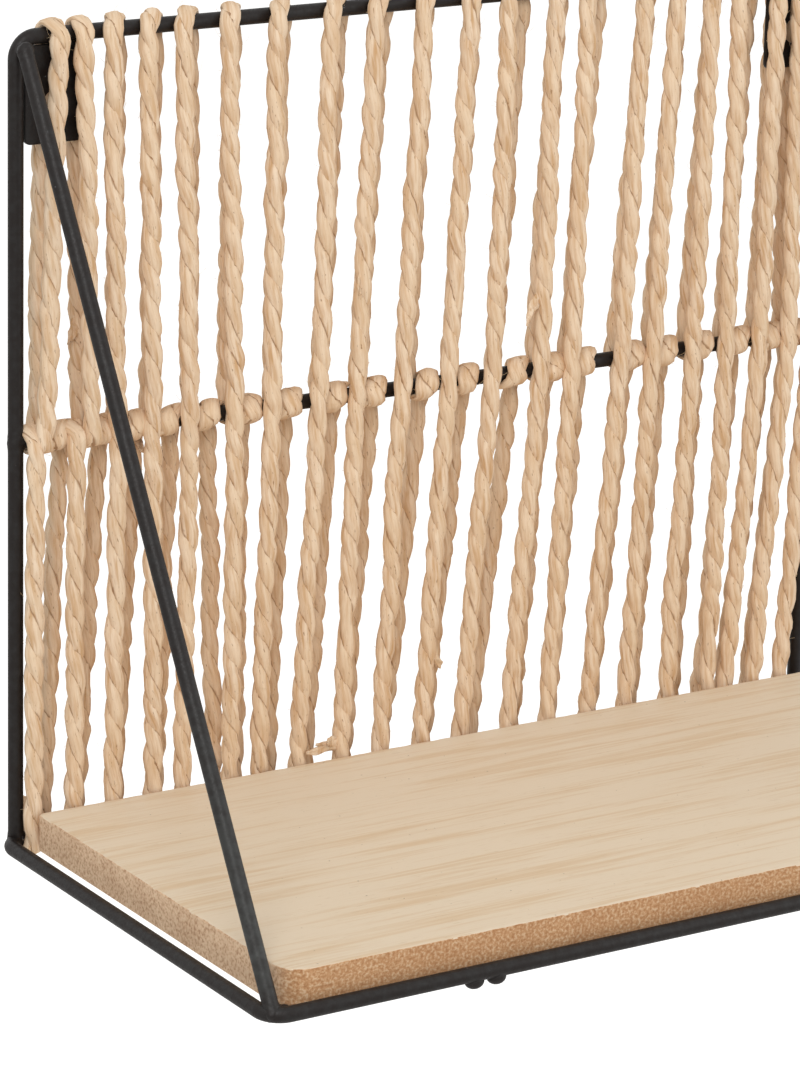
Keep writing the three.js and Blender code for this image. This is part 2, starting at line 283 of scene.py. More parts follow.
def settle(made: Object, name: str) -> Object:
    """Applies an object's modifiers by taking its evaluated mesh.

    Args:
        made: object with live modifiers; it is removed.
        name: name of the plain object.

    Returns:
        A new object that holds the plain mesh.
    """
    bpy.context.view_layer.update()
    graph = bpy.context.evaluated_depsgraph_get()
    mesh = bpy.data.meshes.new_from_object(made.evaluated_get(graph), depsgraph=graph)
    mesh.name = name
    bpy.data.objects.remove(made)
    return linked(name, mesh)


def forget(made: Object, names: Iterable[str]) -> None:
    """Removes attributes that only the making of a piece needed.

    Args:
        made: the piece.
        names: names of the attributes.
    """
    for name in names:
        stored = made.data.attributes.get(name)
        if stored:
            made.data.attributes.remove(stored)


def shade(made: Object, material: Material, sharp_over: float | None = None) -> None:
    """Gives an object its one material and smooth faces.

    Args:
        made: the object.
        material: its material.
        sharp_over: angle in degrees over which an edge stays sharp, if any does.
    """
    made.data.materials.clear()
    made.data.materials.append(material)
    made.data.polygons.foreach_set("use_smooth", [True] * len(made.data.polygons))
    if sharp_over is not None:
        made.data.set_sharp_from_angle(angle=math.radians(sharp_over))
    made.data.update()


def dress(made: Object, slot: Slot, *nodes: str) -> None:
    """Ties a finished piece to the part, and reports it.

    Args:
        made: the piece.
        slot: its material slot; not used.
        nodes: nodes that it stands for.
    """
    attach(made, "root")
    if nodes:
        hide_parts(*nodes)
    LOG.info("%s: %d faces", made.name, len(made.data.polygons))


class ShapeTree:
    """A Geometry Nodes tree that turns a source object into a finished plain piece."""

    def __init__(self, name: str, sizes: dict[str, type]) -> None:
        """Makes the tree's sockets.

        Args:
            name: name of the tree.
            sizes: for each input, its type.
        """
        self.tree = bpy.data.node_groups.new(name, "GeometryNodeTree")
        interface = self.tree.interface
        interface.new_socket("Geometry", in_out="INPUT", socket_type="NodeSocketGeometry")
        self.sockets = {
            label: interface.new_socket(label, in_out="INPUT", socket_type=SOCKETS[kind]).identifier
            for label, kind in sizes.items()
        }
        interface.new_socket("Geometry", in_out="OUTPUT", socket_type="NodeSocketGeometry")
        self.entry = self.tree.nodes.new("NodeGroupInput")

    def add(self, kind: str, inputs: Inputs | None = None,
            **settings: Any) -> bpy.types.NodeOutputs:
        """Adds a node and returns its outputs."""
        return add_node(self.tree, kind, inputs, **settings).outputs

    def size(self, label: str) -> Socket:
        """Output of the tree's entry that carries one of its inputs."""
        return self.entry.outputs[label]

    def close(self, geometry: Socket) -> None:
        """Ends the tree: real mesh, smooth faces, and the piece's material.

        Args:
            geometry: what the tree has made.
        """
        real = self.add("GeometryNodeRealizeInstances", {"Geometry": geometry})
        soft = self.add("GeometryNodeSetShadeSmooth", {"Geometry": real[0]})
        painted = self.add("GeometryNodeSetMaterial", {
            "Geometry": soft[0], "Material": self.size("Material")})
        add_node(self.tree, "NodeGroupOutput", {0: painted[0]})

    def shape(self, source: Object, name: str, values: dict[str, Any]) -> Object:
        """Runs the tree on a source and keeps the result as a plain mesh.

        Args:
            source: object that the tree reads; it is removed.
            name: name of the finished piece.
            values: value of each of the tree's inputs.

        Returns:
            The finished piece.
        """
        modifier = source.modifiers.new("shape", "NODES")
        modifier.node_group = self.tree
        for label, value in values.items():
            modifier[self.sockets[label]] = value
        return settle(source, name)


@dataclass(frozen=True)
class Stain:
    """A colour that covers another where a pattern goes from one level to the next."""

    pattern: Socket
    colour: str
    clear: float = 0.0  # level of the pattern at which none of the colour shows
    full: float = 1.0  # level at which it shows most
    most: float | Socket = 1.0  # its share there
    soft: bool = False  # whether it sets in and ends slowly


@dataclass(frozen=True)
class Finish:
    """Base of a finish: a named material with one Principled shader."""

    name: str = "finish"

    def start(self) -> tuple[Material, Tree, bpy.types.Node]:
        """Makes the material.

        Returns:
            The material, its tree and its shader.
        """
        material = bpy.data.materials.new(self.name)
        material.use_nodes = True
        return material, material.node_tree, material.node_tree.nodes["Principled BSDF"]

    def pattern(self, tree: Tree, spots: Socket, sizes: tuple[float, ...],
                detail: float, roughness: float = 0.5, distortion: float = 0.0) -> Socket:
        """Noise of a real size.

        Args:
            tree: the material's tree.
            spots: place that the noise is laid out by.
            sizes: size of its lumps along each axis in millimetres, or one size for all three.
            detail: how many finer layers it has.
            roughness: how strong they are.
            distortion: how far its lines wander.

        Returns:
            The noise, from 0 to 1.
        """
        scales = tuple(1 / (size * MM) for size in (sizes if len(sizes) == 3 else sizes * 3))
        drawn = add_node(tree, "ShaderNodeVectorMath", {0: spots, 1: scales}, operation="MULTIPLY")
        return add_node(tree, "ShaderNodeTexNoise", {
            "Vector": drawn.outputs[0], "Scale": 1.0, "Detail": detail, "Roughness": roughness,
            "Distortion": distortion}).outputs["Fac"]

    def stained(self, tree: Tree, base: str,
                stains: Iterable[Stain]) -> Socket:
        """Lays stains over a colour, each over the ones before it.

        Args:
            tree: the material's tree.
            base: the colour under them.
            stains: the stains, from the lowest.

        Returns:
            The colour with its stains.
        """
        colour: Any = srgb(base)
        for stain in stains:
            share = add_node(tree, "ShaderNodeMapRange", {
                "Value": stain.pattern, "From Min": stain.clear, "From Max": stain.full,
                "To Max": stain.most}, interpolation_type="SMOOTHSTEP" if stain.soft else "LINEAR")
            colour = add_node(tree, "ShaderNodeMix", {
                0: share.outputs["Result"], 6: colour, 7: srgb(stain.colour)},
                data_type="RGBA").outputs[2]
        return colour

    def relief(self, tree: Tree, shader: bpy.types.Node,
               *heights: tuple[Socket, float]) -> None:
        """Gives a shader its relief, one pattern over the other.

        Args:
            tree: the material's tree.
            shader: shader that takes the relief.
            heights: for each pattern from 0 to 1, its height in millimetres.
        """
        under: Inputs = {}
        for pattern, height in heights:
            bump = add_node(tree, "ShaderNodeBump", {
                **under, "Height": pattern, "Distance": height * MM, "Strength": 1.0})
            under = {"Normal": bump.outputs["Normal"]}
        feed(tree, shader, under)


@dataclass(frozen=True)
class PaintedSteel(Finish):
    """Satin black enamel sprayed on drawn steel rod: soft streaks of light, small pale scuffs, and a painted
    highlight, with some scuffing, low on the stays.
    """

    name: str = "satin_black_enamel"
    paint: str = "#160F0C"
    worn: str = "#211F1E"
    scuff: str = "#6C6E72"
    # painted highlight, with some scuffing, on the lower ends of the stays
    sheen_and_scuff: str = "#3E3F3D"
    least_roughness: float = 0.38
    most_roughness: float = 0.56
    gloss_level: float = 0.3  # thin matt enamel throws back less than clear lacquer
    ripple: float = 2.6  # mm, lumps that sprayed paint leaves on a rod
    ripple_height: float = 0.16  # mm
    grit: float = 0.55  # mm, drawn coarser than real dust in the paint, so that it shows
    grit_height: float = 0.03  # mm
    scuff_size: float = 3.2  # mm
    sheen_start: tuple[float, float] = (1.0, 16.0)  # mm above the loop, where the painted highlight sets in
    sheen_end: tuple[float, float] = (4.0, 95.0)  # mm above the loop, over which it fades again
    sheen_front: float = 95.0  # mm in front of the back frame, where only the stays lie
    sheen_in_hollows: float = 0.45  # share of the painted highlight in the hollows of the paint

    def material(self) -> Material:
        """Builds the enamel's material.

        Returns:
            The material.
        """
        material, tree, shader = self.start()
        spots = add_node(tree, "ShaderNodeTexCoord").outputs["Object"]
        ripple = self.pattern(tree, spots, (self.ripple,), 2.0)
        grit = self.pattern(tree, spots, (self.grit,), 1.0)
        marks = self.pattern(tree, spots, (self.scuff_size,), 4.0, 0.72)
        colour = self.stained(tree, self.paint, (
            Stain(ripple, self.worn, clear=0.42, full=0.78),
            # painted highlight, with some scuffing, low on the stays
            Stain(self.sheen_and_scuff_share(tree, spots, ripple), self.sheen_and_scuff),
            Stain(marks, self.scuff, clear=0.69, full=0.75, most=0.75)))
        gloss = add_node(tree, "ShaderNodeMapRange", {
            "Value": grit, "From Min": 0.3, "From Max": 0.7,
            "To Min": self.least_roughness, "To Max": self.most_roughness})
        feed(tree, shader, {"Base Color": colour, "Roughness": gloss.outputs["Result"],
                            "Specular IOR Level": self.gloss_level})
        self.relief(tree, shader, (ripple, self.ripple_height), (grit, self.grit_height))
        return material

    def sheen_and_scuff_share(self, tree: Tree, spots: Socket,
                ripple: Socket) -> Socket:
        """How strong the painted highlight, with some scuffing, is at the lower ends of the stays.

        Args:
            tree: the material's tree.
            spots: place on the object.
            ripple: lumps of the paint, on which it is strongest.

        Returns:
            The highlight's share, from 0 to 1.
        """
        axes = add_node(tree, "ShaderNodeSeparateXYZ", {0: spots}).outputs
        share = add_node(tree, "ShaderNodeMath", {
            0: axes["Y"], 1: -self.sheen_front * MM}, operation="LESS_THAN").outputs[0]
        for value, (low, high), least, most in (
                (axes["Z"], self.from_loop(self.sheen_start), 0.0, 1.0),
                (axes["Z"], self.from_loop(self.sheen_end), 1.0, 0.0),
                (ripple, (0.35, 0.6), self.sheen_in_hollows, 1.0)):
            part = add_node(tree, "ShaderNodeMapRange", {
                "Value": value, "From Min": low, "From Max": high, "To Min": least, "To Max": most})
            share = add_node(tree, "ShaderNodeMath", {
                0: share, 1: part.outputs["Result"]}, operation="MULTIPLY").outputs[0]
        return share

    def from_loop(self, heights: tuple[float, float]) -> tuple[float, float]:
        """Two heights above the loop, as Z in metres."""
        return (heights[0] - HANG_HEIGHT) * MM, (heights[1] - HANG_HEIGHT) * MM


@dataclass(frozen=True)
class PaperRope(Finish):
    """Kraft paper ribbons twisted into a two-ply rope: dry and matt, with flat pale folds, brown streaks of
    painted shade where a fold turns under, and a thin line of painted shade between the plies."""

    name: str = "twisted_kraft_paper"
    light: str = "#F0D8BC"
    middle: str = "#E6C9A6"
    # deep: the paper's own brown, and painted shade where a fold turns under
    deep: str = "#CCA276"
    # painted shade, for the crease between the plies and for small tears
    crevice_shade: str = "#8E6036"
    roughness: float = 0.82
    gloss_level: float = 0.25
    folds: tuple[float, float] = (1.3, 11.0)  # mm, width and length of the ribbon's folds
    fold_height: float = 0.38  # mm
    fibres: tuple[float, float] = (0.22, 3.4)  # mm
    fibre_height: float = 0.1  # mm
    nick_shade: tuple[float, float] = (0.45, 2.3)  # mm, painted shade in small tears and holes in a fold
    patch: float = 26.0  # mm, slow change of tone along the rope
    seam_step: float = 5.0  # mm, over which the painted shade line between the plies widens and closes
    seam_least: float = 0.02  # mm
    seam_most: float = 0.62  # mm
    seam_shade_most: float = 0.75  # share of the crevice shade's colour in the painted shade line
    seam_depth: float = 0.14  # mm

    def material(self) -> Material:
        """Builds the paper's material, drawn in the ply's own space.

        Returns:
            The material.
        """
        material, tree, shader = self.start()
        ply = add_node(tree, "ShaderNodeAttribute", attribute_name="ply_space").outputs["Vector"]
        folds, fibres, nick_shade = (
            self.pattern(tree, ply, (width, width, length), 2.5, 0.55, 0.25)
            for width, length in (self.folds, self.fibres, self.nick_shade))
        seam_shade = self.seam_shade(tree, ply)
        colour = self.stained(tree, self.deep, (
            # painted shade: the paper stays deep brown where the fold pattern is low, where its relief sinks
            # too
            Stain(folds, self.light, clear=0.3, full=0.6),
            Stain(self.pattern(tree, ply, (self.patch,), 2.0), self.middle,
                  clear=0.35, full=0.65, most=0.55),
            Stain(fibres, self.deep, clear=0.45, full=0.3, most=0.38),
            # painted shade in small tears, and in the crease where the plies meet
            Stain(nick_shade, self.crevice_shade, clear=0.34, full=0.28, most=0.75),
            Stain(seam_shade, self.crevice_shade)))
        feed(tree, shader, {"Base Color": colour, "Roughness": self.roughness,
                            "Specular IOR Level": self.gloss_level})
        raised = add_node(tree, "ShaderNodeMath", {0: 1.0, 1: seam_shade}, operation="SUBTRACT").outputs[0]
        self.relief(tree, shader, (folds, self.fold_height), (fibres, self.fibre_height),
                    (raised, self.seam_depth))
        return material

    def seam_shade(self, tree: Tree, ply: Socket) -> Socket:
        """Painted shade in the crease where the plies meet, wider in one place than in the next.

        Args:
            tree: the material's tree.
            ply: place on the ply.

        Returns:
            How dark the painted shade is, from 0 to 1.
        """
        gap = add_node(tree, "ShaderNodeAttribute", attribute_name="ply_gap").outputs["Fac"]
        width = add_node(tree, "ShaderNodeMapRange", {
            "Value": self.pattern(tree, ply, (self.seam_step,), 1.5), "From Min": 0.35,
            "From Max": 0.65, "To Min": self.seam_least * MM, "To Max": self.seam_most * MM})
        return add_node(tree, "ShaderNodeMapRange", {
            "Value": gap, "From Min": 0.0, "From Max": width.outputs["Result"],
            "To Min": self.seam_shade_most, "To Max": 0.0},
            interpolation_type="SMOOTHSTEP").outputs["Result"]


@dataclass(frozen=True)
class PaperFibre(Finish):
    """Loose paper fibres that stand off the rope: pale and matt, a little darker here and there."""

    name: str = "loose_paper_fibre"
    pale: str = "#E9D5B2"
    dark: str = "#D8B98C"
    mottle: float = 4.0  # mm
    roughness: float = 0.8

    def material(self) -> Material:
        """Builds the fibre's material.

        Returns:
            The material.
        """
        material, tree, shader = self.start()
        spots = add_node(tree, "ShaderNodeTexCoord").outputs["Object"]
        mottle = self.pattern(tree, spots, (self.mottle,), 2.0)
        feed(tree, shader, {"Base Color": self.stained(tree, self.dark, (Stain(mottle, self.pale),)),
                            "Roughness": self.roughness})
        return material


@dataclass(frozen=True)
class PaleVeneer(Finish):
    """Sanded pale veneer under a matt lacquer: broad faint bands along the board, a finer grain
    in them, short pores, and a few dark specks."""

    name: str = "matt_pale_veneer"
    light: str = "#E4D2B8"
    dark: str = "#DBC19F"
    pore: str = "#BF9F72"
    speck: str = "#8B7355"
    roughness: float = 0.55
    gloss_level: float = 0.35
    bands: tuple[float, float] = (7.0, 110.0)  # mm, width and length
    grain: tuple[float, float] = (1.5, 40.0)  # mm
    grain_share: float = 0.5  # of the grain in the tone; the rest are bands
    pores: tuple[float, float] = (0.35, 6.0)  # mm
    pore_depth: float = 0.02  # mm
    speck_size: float = 1.5  # mm, of which only the dark middle shows

    def material(self) -> Material:
        """Builds the veneer's material, with its grain along X.

        Returns:
            The material.
        """
        material, tree, shader = self.start()
        spots = add_node(tree, "ShaderNodeTexCoord").outputs["Object"]
        bands, grain, pores = (
            self.pattern(tree, spots, (length, width, width), detail, distortion=0.6)
            for (width, length), detail in ((self.bands, 2.0), (self.grain, 3.0), (self.pores, 1.0)))
        specks = self.pattern(tree, spots, (self.speck_size,), 1.0)
        fine = add_node(tree, "ShaderNodeMath", {
            0: grain, 1: self.grain_share}, operation="MULTIPLY").outputs[0]
        figure = add_node(tree, "ShaderNodeMath", {
            0: bands, 1: 1 - self.grain_share, 2: fine}, operation="MULTIPLY_ADD").outputs[0]
        colour = self.stained(tree, self.dark, (
            Stain(figure, self.light, clear=0.34, full=0.54, soft=True),
            Stain(pores, self.pore, clear=0.36, full=0.22, most=0.4),
            Stain(specks, self.speck, clear=0.775, full=0.81, most=0.7)))
        feed(tree, shader, {"Base Color": colour, "Roughness": self.roughness,
                            "Specular IOR Level": self.gloss_level})
        self.relief(tree, shader, (pores, self.pore_depth))
        return material


@dataclass(frozen=True)
class SawnFibreboard(Finish):
    """Raw sawn edge of fibreboard: speckled warm brown, with painted shade on the front face and painted
    light that makes the ends paler and greyer, and a dark line of glue along the lower veneer."""

    name: str = "sawn_fibreboard"
    # painted shade: the front face is drawn darker and warmer than the ends
    front: str = "#C4966C"
    # painted light: the ends are drawn paler and greyer than the front face
    end: str = "#DCBB9A"
    speck_light: str = "#EBD3B2"
    speck_dark: str = "#94603A"
    glue: str = "#6E4426"
    roughness: float = 0.9
    gloss_level: float = 0.2
    chip: float = 1.0  # mm, wood chips, drawn a little coarser than real ones
    chip_height: float = 0.22  # mm
    dust: float = 0.4  # mm
    dust_height: float = 0.06  # mm
    cloud: float = 14.0  # mm
    turn: tuple[float, float] = (1.5, 9.0)  # mm behind the front edge, over which the painted lighter end colour begins
    glue_line: float = 0.45  # mm of core above the lower veneer that took up glue
    glue_most: float = 0.6  # share of the glue's colour at the front, fading to none at the paler painted ends

    def material(self, front_y: float, low_z: float) -> Material:
        """Builds the edge's material.

        Args:
            front_y: Y of the board's front edge, in metres.
            low_z: Z of the core's lower face, in metres.

        Returns:
            The material.
        """
        material, tree, shader = self.start()
        spots = add_node(tree, "ShaderNodeTexCoord").outputs["Object"]
        axes = add_node(tree, "ShaderNodeSeparateXYZ", {0: spots}).outputs
        chips = self.pattern(tree, spots, (self.chip,), 1.5, 0.6)
        dust = self.pattern(tree, spots, (self.dust,), 1.0)
        clouds = self.pattern(tree, spots, (self.cloud,), 2.0)
        # painted light and shade by Y: darker front face, paler ends
        ends = add_node(tree, "ShaderNodeMapRange", {
            "Value": axes["Y"], "From Min": front_y + self.turn[0] * MM,
            "From Max": front_y + self.turn[1] * MM},
            interpolation_type="SMOOTHSTEP").outputs["Result"]
        darkest = add_node(tree, "ShaderNodeMapRange", {
            "Value": ends, "To Min": self.glue_most, "To Max": 0.0}).outputs["Result"]
        colour = self.stained(tree, self.front, (
            Stain(ends, self.end),
            Stain(chips, self.speck_light, clear=0.5, full=0.66, most=0.5),
            Stain(chips, self.speck_dark, clear=0.5, full=0.32, most=0.5),
            Stain(clouds, self.speck_dark, clear=0.4, full=0.7, most=0.16),
            Stain(axes["Z"], self.glue, clear=low_z + 2 * self.glue_line * MM,
                  full=low_z + self.glue_line * MM, most=darkest)))
        feed(tree, shader, {"Base Color": colour, "Roughness": self.roughness,
                            "Specular IOR Level": self.gloss_level})
        self.relief(tree, shader, (chips, self.chip_height), (dust, self.dust_height))
        return material


@dataclass(frozen=True)
class ZincPlate(Finish):
    """Bright zinc plating on a pressed steel screw: a slightly blue metal, dulled in patches."""

    name: str = "zinc_plated_steel"
    bright: str = "#C9CCD1"
    dull: str = "#9B9EA3"
    least_roughness: float = 0.22
    most_roughness: float = 0.42
    patch: float = 1.6  # mm
    patch_height: float = 0.02  # mm

    def material(self) -> Material:
        """Builds the plating's material.

        Returns:
            The material.
        """
        material, tree, shader = self.start()
        spots = add_node(tree, "ShaderNodeTexCoord").outputs["Object"]
        patches = self.pattern(tree, spots, (self.patch,), 3.0)
        gloss = add_node(tree, "ShaderNodeMapRange", {
            "Value": patches, "To Min": self.most_roughness, "To Max": self.least_roughness})
        feed(tree, shader, {"Base Color": self.stained(tree, self.dull, (Stain(patches, self.bright),)),
                            "Roughness": gloss.outputs["Result"], "Metallic": 1.0})
        self.relief(tree, shader, (patches, self.patch_height))
        return material


def rod_tree() -> ShapeTree:
    """Makes the tree that bends a round rod along a path of straight runs.

    Returns:
        The tree.
    """
    shape = ShapeTree("bent_rod", {
        "Rod radius": float, "Bend radius": float, "Bend steps": int, "Rod sides": int,
        "Material": Material})
    line = shape.add("GeometryNodeMeshToCurve", {"Mesh": shape.entry.outputs["Geometry"]})
    bent = shape.add("GeometryNodeFilletCurve", {
        "Curve": line[0], "Count": shape.size("Bend steps"), "Radius": shape.size("Bend radius"),
        "Limit Radius": True}, mode="POLY")
    section = shape.add("GeometryNodeCurvePrimitiveCircle", {
        "Resolution": shape.size("Rod sides"), "Radius": shape.size("Rod radius")}, mode="RADIUS")
    rod = shape.add("GeometryNodeCurveToMesh", {
        "Curve": bent[0], "Profile Curve": section[0], "Fill Caps": True})
    shape.close(rod[0])
    return shape


@dataclass(frozen=True)
class RodLayout:
    """Driving sizes of the welded rods, centre to centre, which fixings and rope follow too."""

    rod_radius: float = 2.5
    loop_width: float = 322.0
    loop_depth: float = 168.0
    back_inset: float = 4.1
    back_height: float = 263.0
    rail_height: float = 134.0
    bend_radius: float = 7.0

    @property
    def half_span(self) -> float:
        """Half the distance between the uprights."""
        return self.loop_width / 2 - self.back_inset


@dataclass
class WireFrame:
    """The welded rods: bottom loop, back frame, mid rail, two stays, and the beads that join them."""

    layout: RodLayout
    paint: Material
    rods: ShapeTree
    stay_top_inset: float = 0.4
    stay_top_forward: float = 5.3
    stay_top_drop: float = 3.0
    bend_steps: int = 10
    rod_sides: int = 32
    bead_seed: int = 4
    bead_drops: int = 9  # drops of metal in a bead
    drop_reach: tuple[float, float] = (0.9, 0.6)  # from the joint, and how far that changes
    drop_radius: tuple[float, float] = (1.75, 0.7)  # of a drop, and how far that changes
    drop_rows: tuple[float, float] = (0.5, 7.3)  # of the noise, off its whole numbers, where it is nil
    rail_bead: float = 0.92  # share of the other beads' size
    stub_length: float = 5.2
    stub_swell: float = 0.3  # over the rod, at the joint
    stub_sink: float = 0.12  # into the rod, at the stub's far end
    bead_voxel: float = 0.32
    bead_smoothings: int = 9
    ripple_size: float = 1.6
    ripple_height: float = 0.175

    def rod(self, name: str, points: list[Vector], node: str, closed: bool = False) -> None:
        """Makes one rod along its points and puts it in place of its node.

        Args:
            name: the rod's name.
            points: its corners, in metres.
            node: node that it stands for.
            closed: whether it comes back to its start.
        """
        made = self.rods.shape(path_object(name, points, closed), name, {
            "Rod radius": self.layout.rod_radius * MM, "Bend radius": self.layout.bend_radius * MM,
            "Bend steps": self.bend_steps, "Rod sides": self.rod_sides, "Material": self.paint})
        dress(made, Slot.FRAME, node)

    def stay_ends(self, side: Side) -> tuple[Vector, Vector]:
        """Finds the two ends of one sloping stay.

        Args:
            side: the stay's side.

        Returns:
            Its foot, in the middle of the loop's bend, and its top.
        """
        shift = self.layout.bend_radius * (1 - math.sqrt(0.5))
        foot = place(side.value * (self.layout.loop_width / 2 - shift), shift - self.layout.loop_depth, 0)
        top = place(side.value * (self.layout.half_span - self.stay_top_inset), -self.stay_top_forward,
                    self.layout.back_height - self.stay_top_drop)
        return foot, top

    def build(self) -> None:
        """Makes the rods and their weld beads."""
        wide, deep, span = self.layout.loop_width / 2, self.layout.loop_depth, self.layout.half_span
        high, rail = self.layout.back_height, self.layout.rail_height
        loop = [place(-wide, -deep, 0), place(wide, -deep, 0), place(wide, 0, 0), place(-wide, 0, 0)]
        self.rod("loop_rod", loop, "bottom_loop", closed=True)
        back = [place(-span, 0, 0), place(-span, 0, high), place(span, 0, high), place(span, 0, 0)]
        self.rod("back_rod", back, "back_frame")
        self.rod("mid_rod", [place(-span, 0, rail), place(span, 0, rail)], "mid_rail")
        for side in Side:
            word = side.name.lower()
            self.rod(f"{word}_stay", list(self.stay_ends(side)), f"{word}_diagonal")
        self.beads()

    def joints(self) -> list[tuple[Vector, list[Vector], float]]:
        """Lists the welds.

        Returns:
            For each weld its place, the directions of its rods, and its size.
        """
        up, down = Vector((0, 0, 1)), Vector((0, 0, -1))
        ahead, aside = Vector((0, -1, 0)), Vector((1, 0, 0))
        found = []
        for side in Side:
            foot, top = self.stay_ends(side)
            along = (top - foot).normalized()
            inwards = -aside * side.value
            upright = side.value * self.layout.half_span
            found.append((foot, [along, inwards, -ahead], 1.0))
            found.append((top, [-along], 1.0))
            found.append((place(upright, 0, 0), [up, inwards], 1.0))
            found.append((place(upright, 0, self.layout.rail_height), [inwards, up, down],
                          self.rail_bead))
        return found

    def beads(self) -> None:
        """Makes every weld bead: rod stubs and drops of metal, fused, then smoothed."""
        noise.seed_set(self.bead_seed)
        shape = bmesh.new()
        for number, (centre, directions, size) in enumerate(self.joints()):
            for direction in directions:
                self.stub(shape, centre, direction, size)
            for drop in range(self.bead_drops):
                self.drop(shape, centre, size, number, drop)
        made = from_bmesh("weld_beads", shape)
        fuse = made.modifiers.new("fuse", "REMESH")
        fuse.mode = "VOXEL"
        fuse.voxel_size = self.bead_voxel * MM
        soften = made.modifiers.new("soften", "SMOOTH")
        soften.iterations = self.bead_smoothings
        soften.factor = 0.6
        made = settle(made, "weld_beads")
        for vertex in made.data.vertices:
            ripple = noise.noise(vertex.co / (self.ripple_size * MM))
            vertex.co += vertex.normal * ripple * self.ripple_height * MM
        shade(made, self.paint)
        dress(made, Slot.FRAME)

    def drop(self, shape: bmesh.types.BMesh, centre: Vector, size: float, number: int, drop: int) -> None:
        """Adds one drop of metal beside a joint.

        Args:
            shape: mesh that takes the drop.
            centre: the joint.
            size: size of the bead.
            number: number of the joint.
            drop: number of the drop.
        """
        spread = noise.random_unit_vector()
        near, far = self.drop_rows
        reach, radius = (
            (mean + swing * noise.noise(Vector(row))) * size
            for (mean, swing), row in ((self.drop_reach, (number, drop, near)),
                                       (self.drop_radius, (drop, number, far))))
        bmesh.ops.create_icosphere(shape, subdivisions=2, radius=radius * MM,
                                   matrix=Matrix.Translation(centre + spread * reach * MM))

    def stub(self, shape: bmesh.types.BMesh, centre: Vector, direction: Vector, size: float) -> None:
        """Adds a short stretch of rod that thins away from its joint, for the metal to flow on.

        Args:
            shape: mesh that takes the stub.
            centre: the joint.
            direction: way that the rod goes.
            size: size of the bead.
        """
        length = self.stub_length * size * MM
        turn = direction.to_track_quat("Z", "Y").to_matrix().to_4x4()
        bmesh.ops.create_cone(
            shape, cap_ends=True, segments=24, radius1=(self.layout.rod_radius + self.stub_swell) * MM,
            radius2=(self.layout.rod_radius - self.stub_sink) * MM, depth=length,
            matrix=Matrix.Translation(centre + direction * length / 2) @ turn)


@dataclass
class HangerPlates:
    """The two keyhole plates in the upper corners of the back frame."""

    paint: Material
    edge: float = 0.35  # softened by the paint
    inset: float = 11.0
    head_drop: float = 18.7
    head_radius: float = 4.5
    slot_radius: float = 2.5
    travel: float = 10.0
    low_radius: float = 2.0
    outer_radius: float = 4.2
    inner_radius: float = 1.0
    corner_steps: int = 8
    slot_steps: int = 16
    head_steps: int = 32
    merge: float = 0.001

    def build(self) -> None:
        """Makes both plates, each where its node is."""
        for side in Side:
            word = side.name.lower()
            low, high = (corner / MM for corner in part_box(f"{word}_hanger_plate"))
            made = self.punched(f"{word}_plate", self.outlines(side, low, high), high.y - low.y)
            made.data.transform(Matrix.Translation((0, (low.y + high.y) / 2 * MM, 0))
                                @ Matrix.Rotation(math.pi / 2, 4, "X"))
            clean = bmesh.new()
            clean.from_mesh(made.data)
            bmesh.ops.remove_doubles(clean, verts=clean.verts, dist=self.merge * MM)
            bmesh.ops.recalc_face_normals(clean, faces=clean.faces)
            clean.to_mesh(made.data)
            clean.free()
            shade(made, self.paint, sharp_over=40)
            dress(made, Slot.FRAME, f"{word}_hanger_plate")

    def outlines(self, side: Side, low: Vector, high: Vector) -> list[list[tuple[float, float]]]:
        """Draws a plate in X and Z, in millimetres.

        Args:
            side: the plate's side.
            low: its lowest corner.
            high: its highest corner.

        Returns:
            Its outline and its keyhole.
        """
        right = side is Side.RIGHT
        tops = (self.outer_radius, self.inner_radius) if right else (self.inner_radius, self.outer_radius)
        outline = rounded((low.x, low.z), (high.x, high.z), (self.low_radius, self.low_radius, *tops),
                          self.corner_steps)
        outer = high.x if right else low.x
        return [outline, self.keyhole(outer - side.value * self.inset, high.z - self.head_drop)]

    def punched(self, name: str, outlines: list[list[tuple[float, float]]],
                thickness: float) -> Object:
        """Makes a flat sheet with holes, lying in X and Y, with softened edges.

        Args:
            name: name that its name starts with.
            outlines: its outline and its holes, in millimetres.
            thickness: its thickness, in millimetres.

        Returns:
            The sheet.
        """
        flat = bpy.data.curves.new(name, "CURVE")
        flat.dimensions = "2D"
        flat.fill_mode = "BOTH"
        for points in outlines:
            spline = flat.splines.new("POLY")
            spline.points.add(len(points) - 1)
            for point, (x, y) in zip(spline.points, points):
                point.co = (x * MM, y * MM, 0, 1)
            spline.use_cyclic_u = True
        flat.offset = -self.edge * MM
        flat.extrude = (thickness / 2 - self.edge) * MM
        flat.bevel_depth = self.edge * MM
        flat.bevel_resolution = 3
        return settle(linked(name, flat), f"{name}_steel")

    def keyhole(self, x: float, z: float) -> list[tuple[float, float]]:
        """Outline of a keyhole: a round head with its slot running up.

        Args:
            x: X of the head's middle.
            z: Z of the head's middle.

        Returns:
            The outline's points.
        """
        mouth = math.acos(self.slot_radius / self.head_radius)
        arcs = ((self.slot_radius, self.travel, 0.0, math.pi, self.slot_steps),
                (self.head_radius, 0.0, math.pi - mouth, math.pi + 2 * mouth, self.head_steps))
        return [(x + radius * math.cos(start + step * sweep / steps),
                 z + rise + radius * math.sin(start + step * sweep / steps))
                for radius, rise, start, sweep, steps in arcs for step in range(steps + 1)]


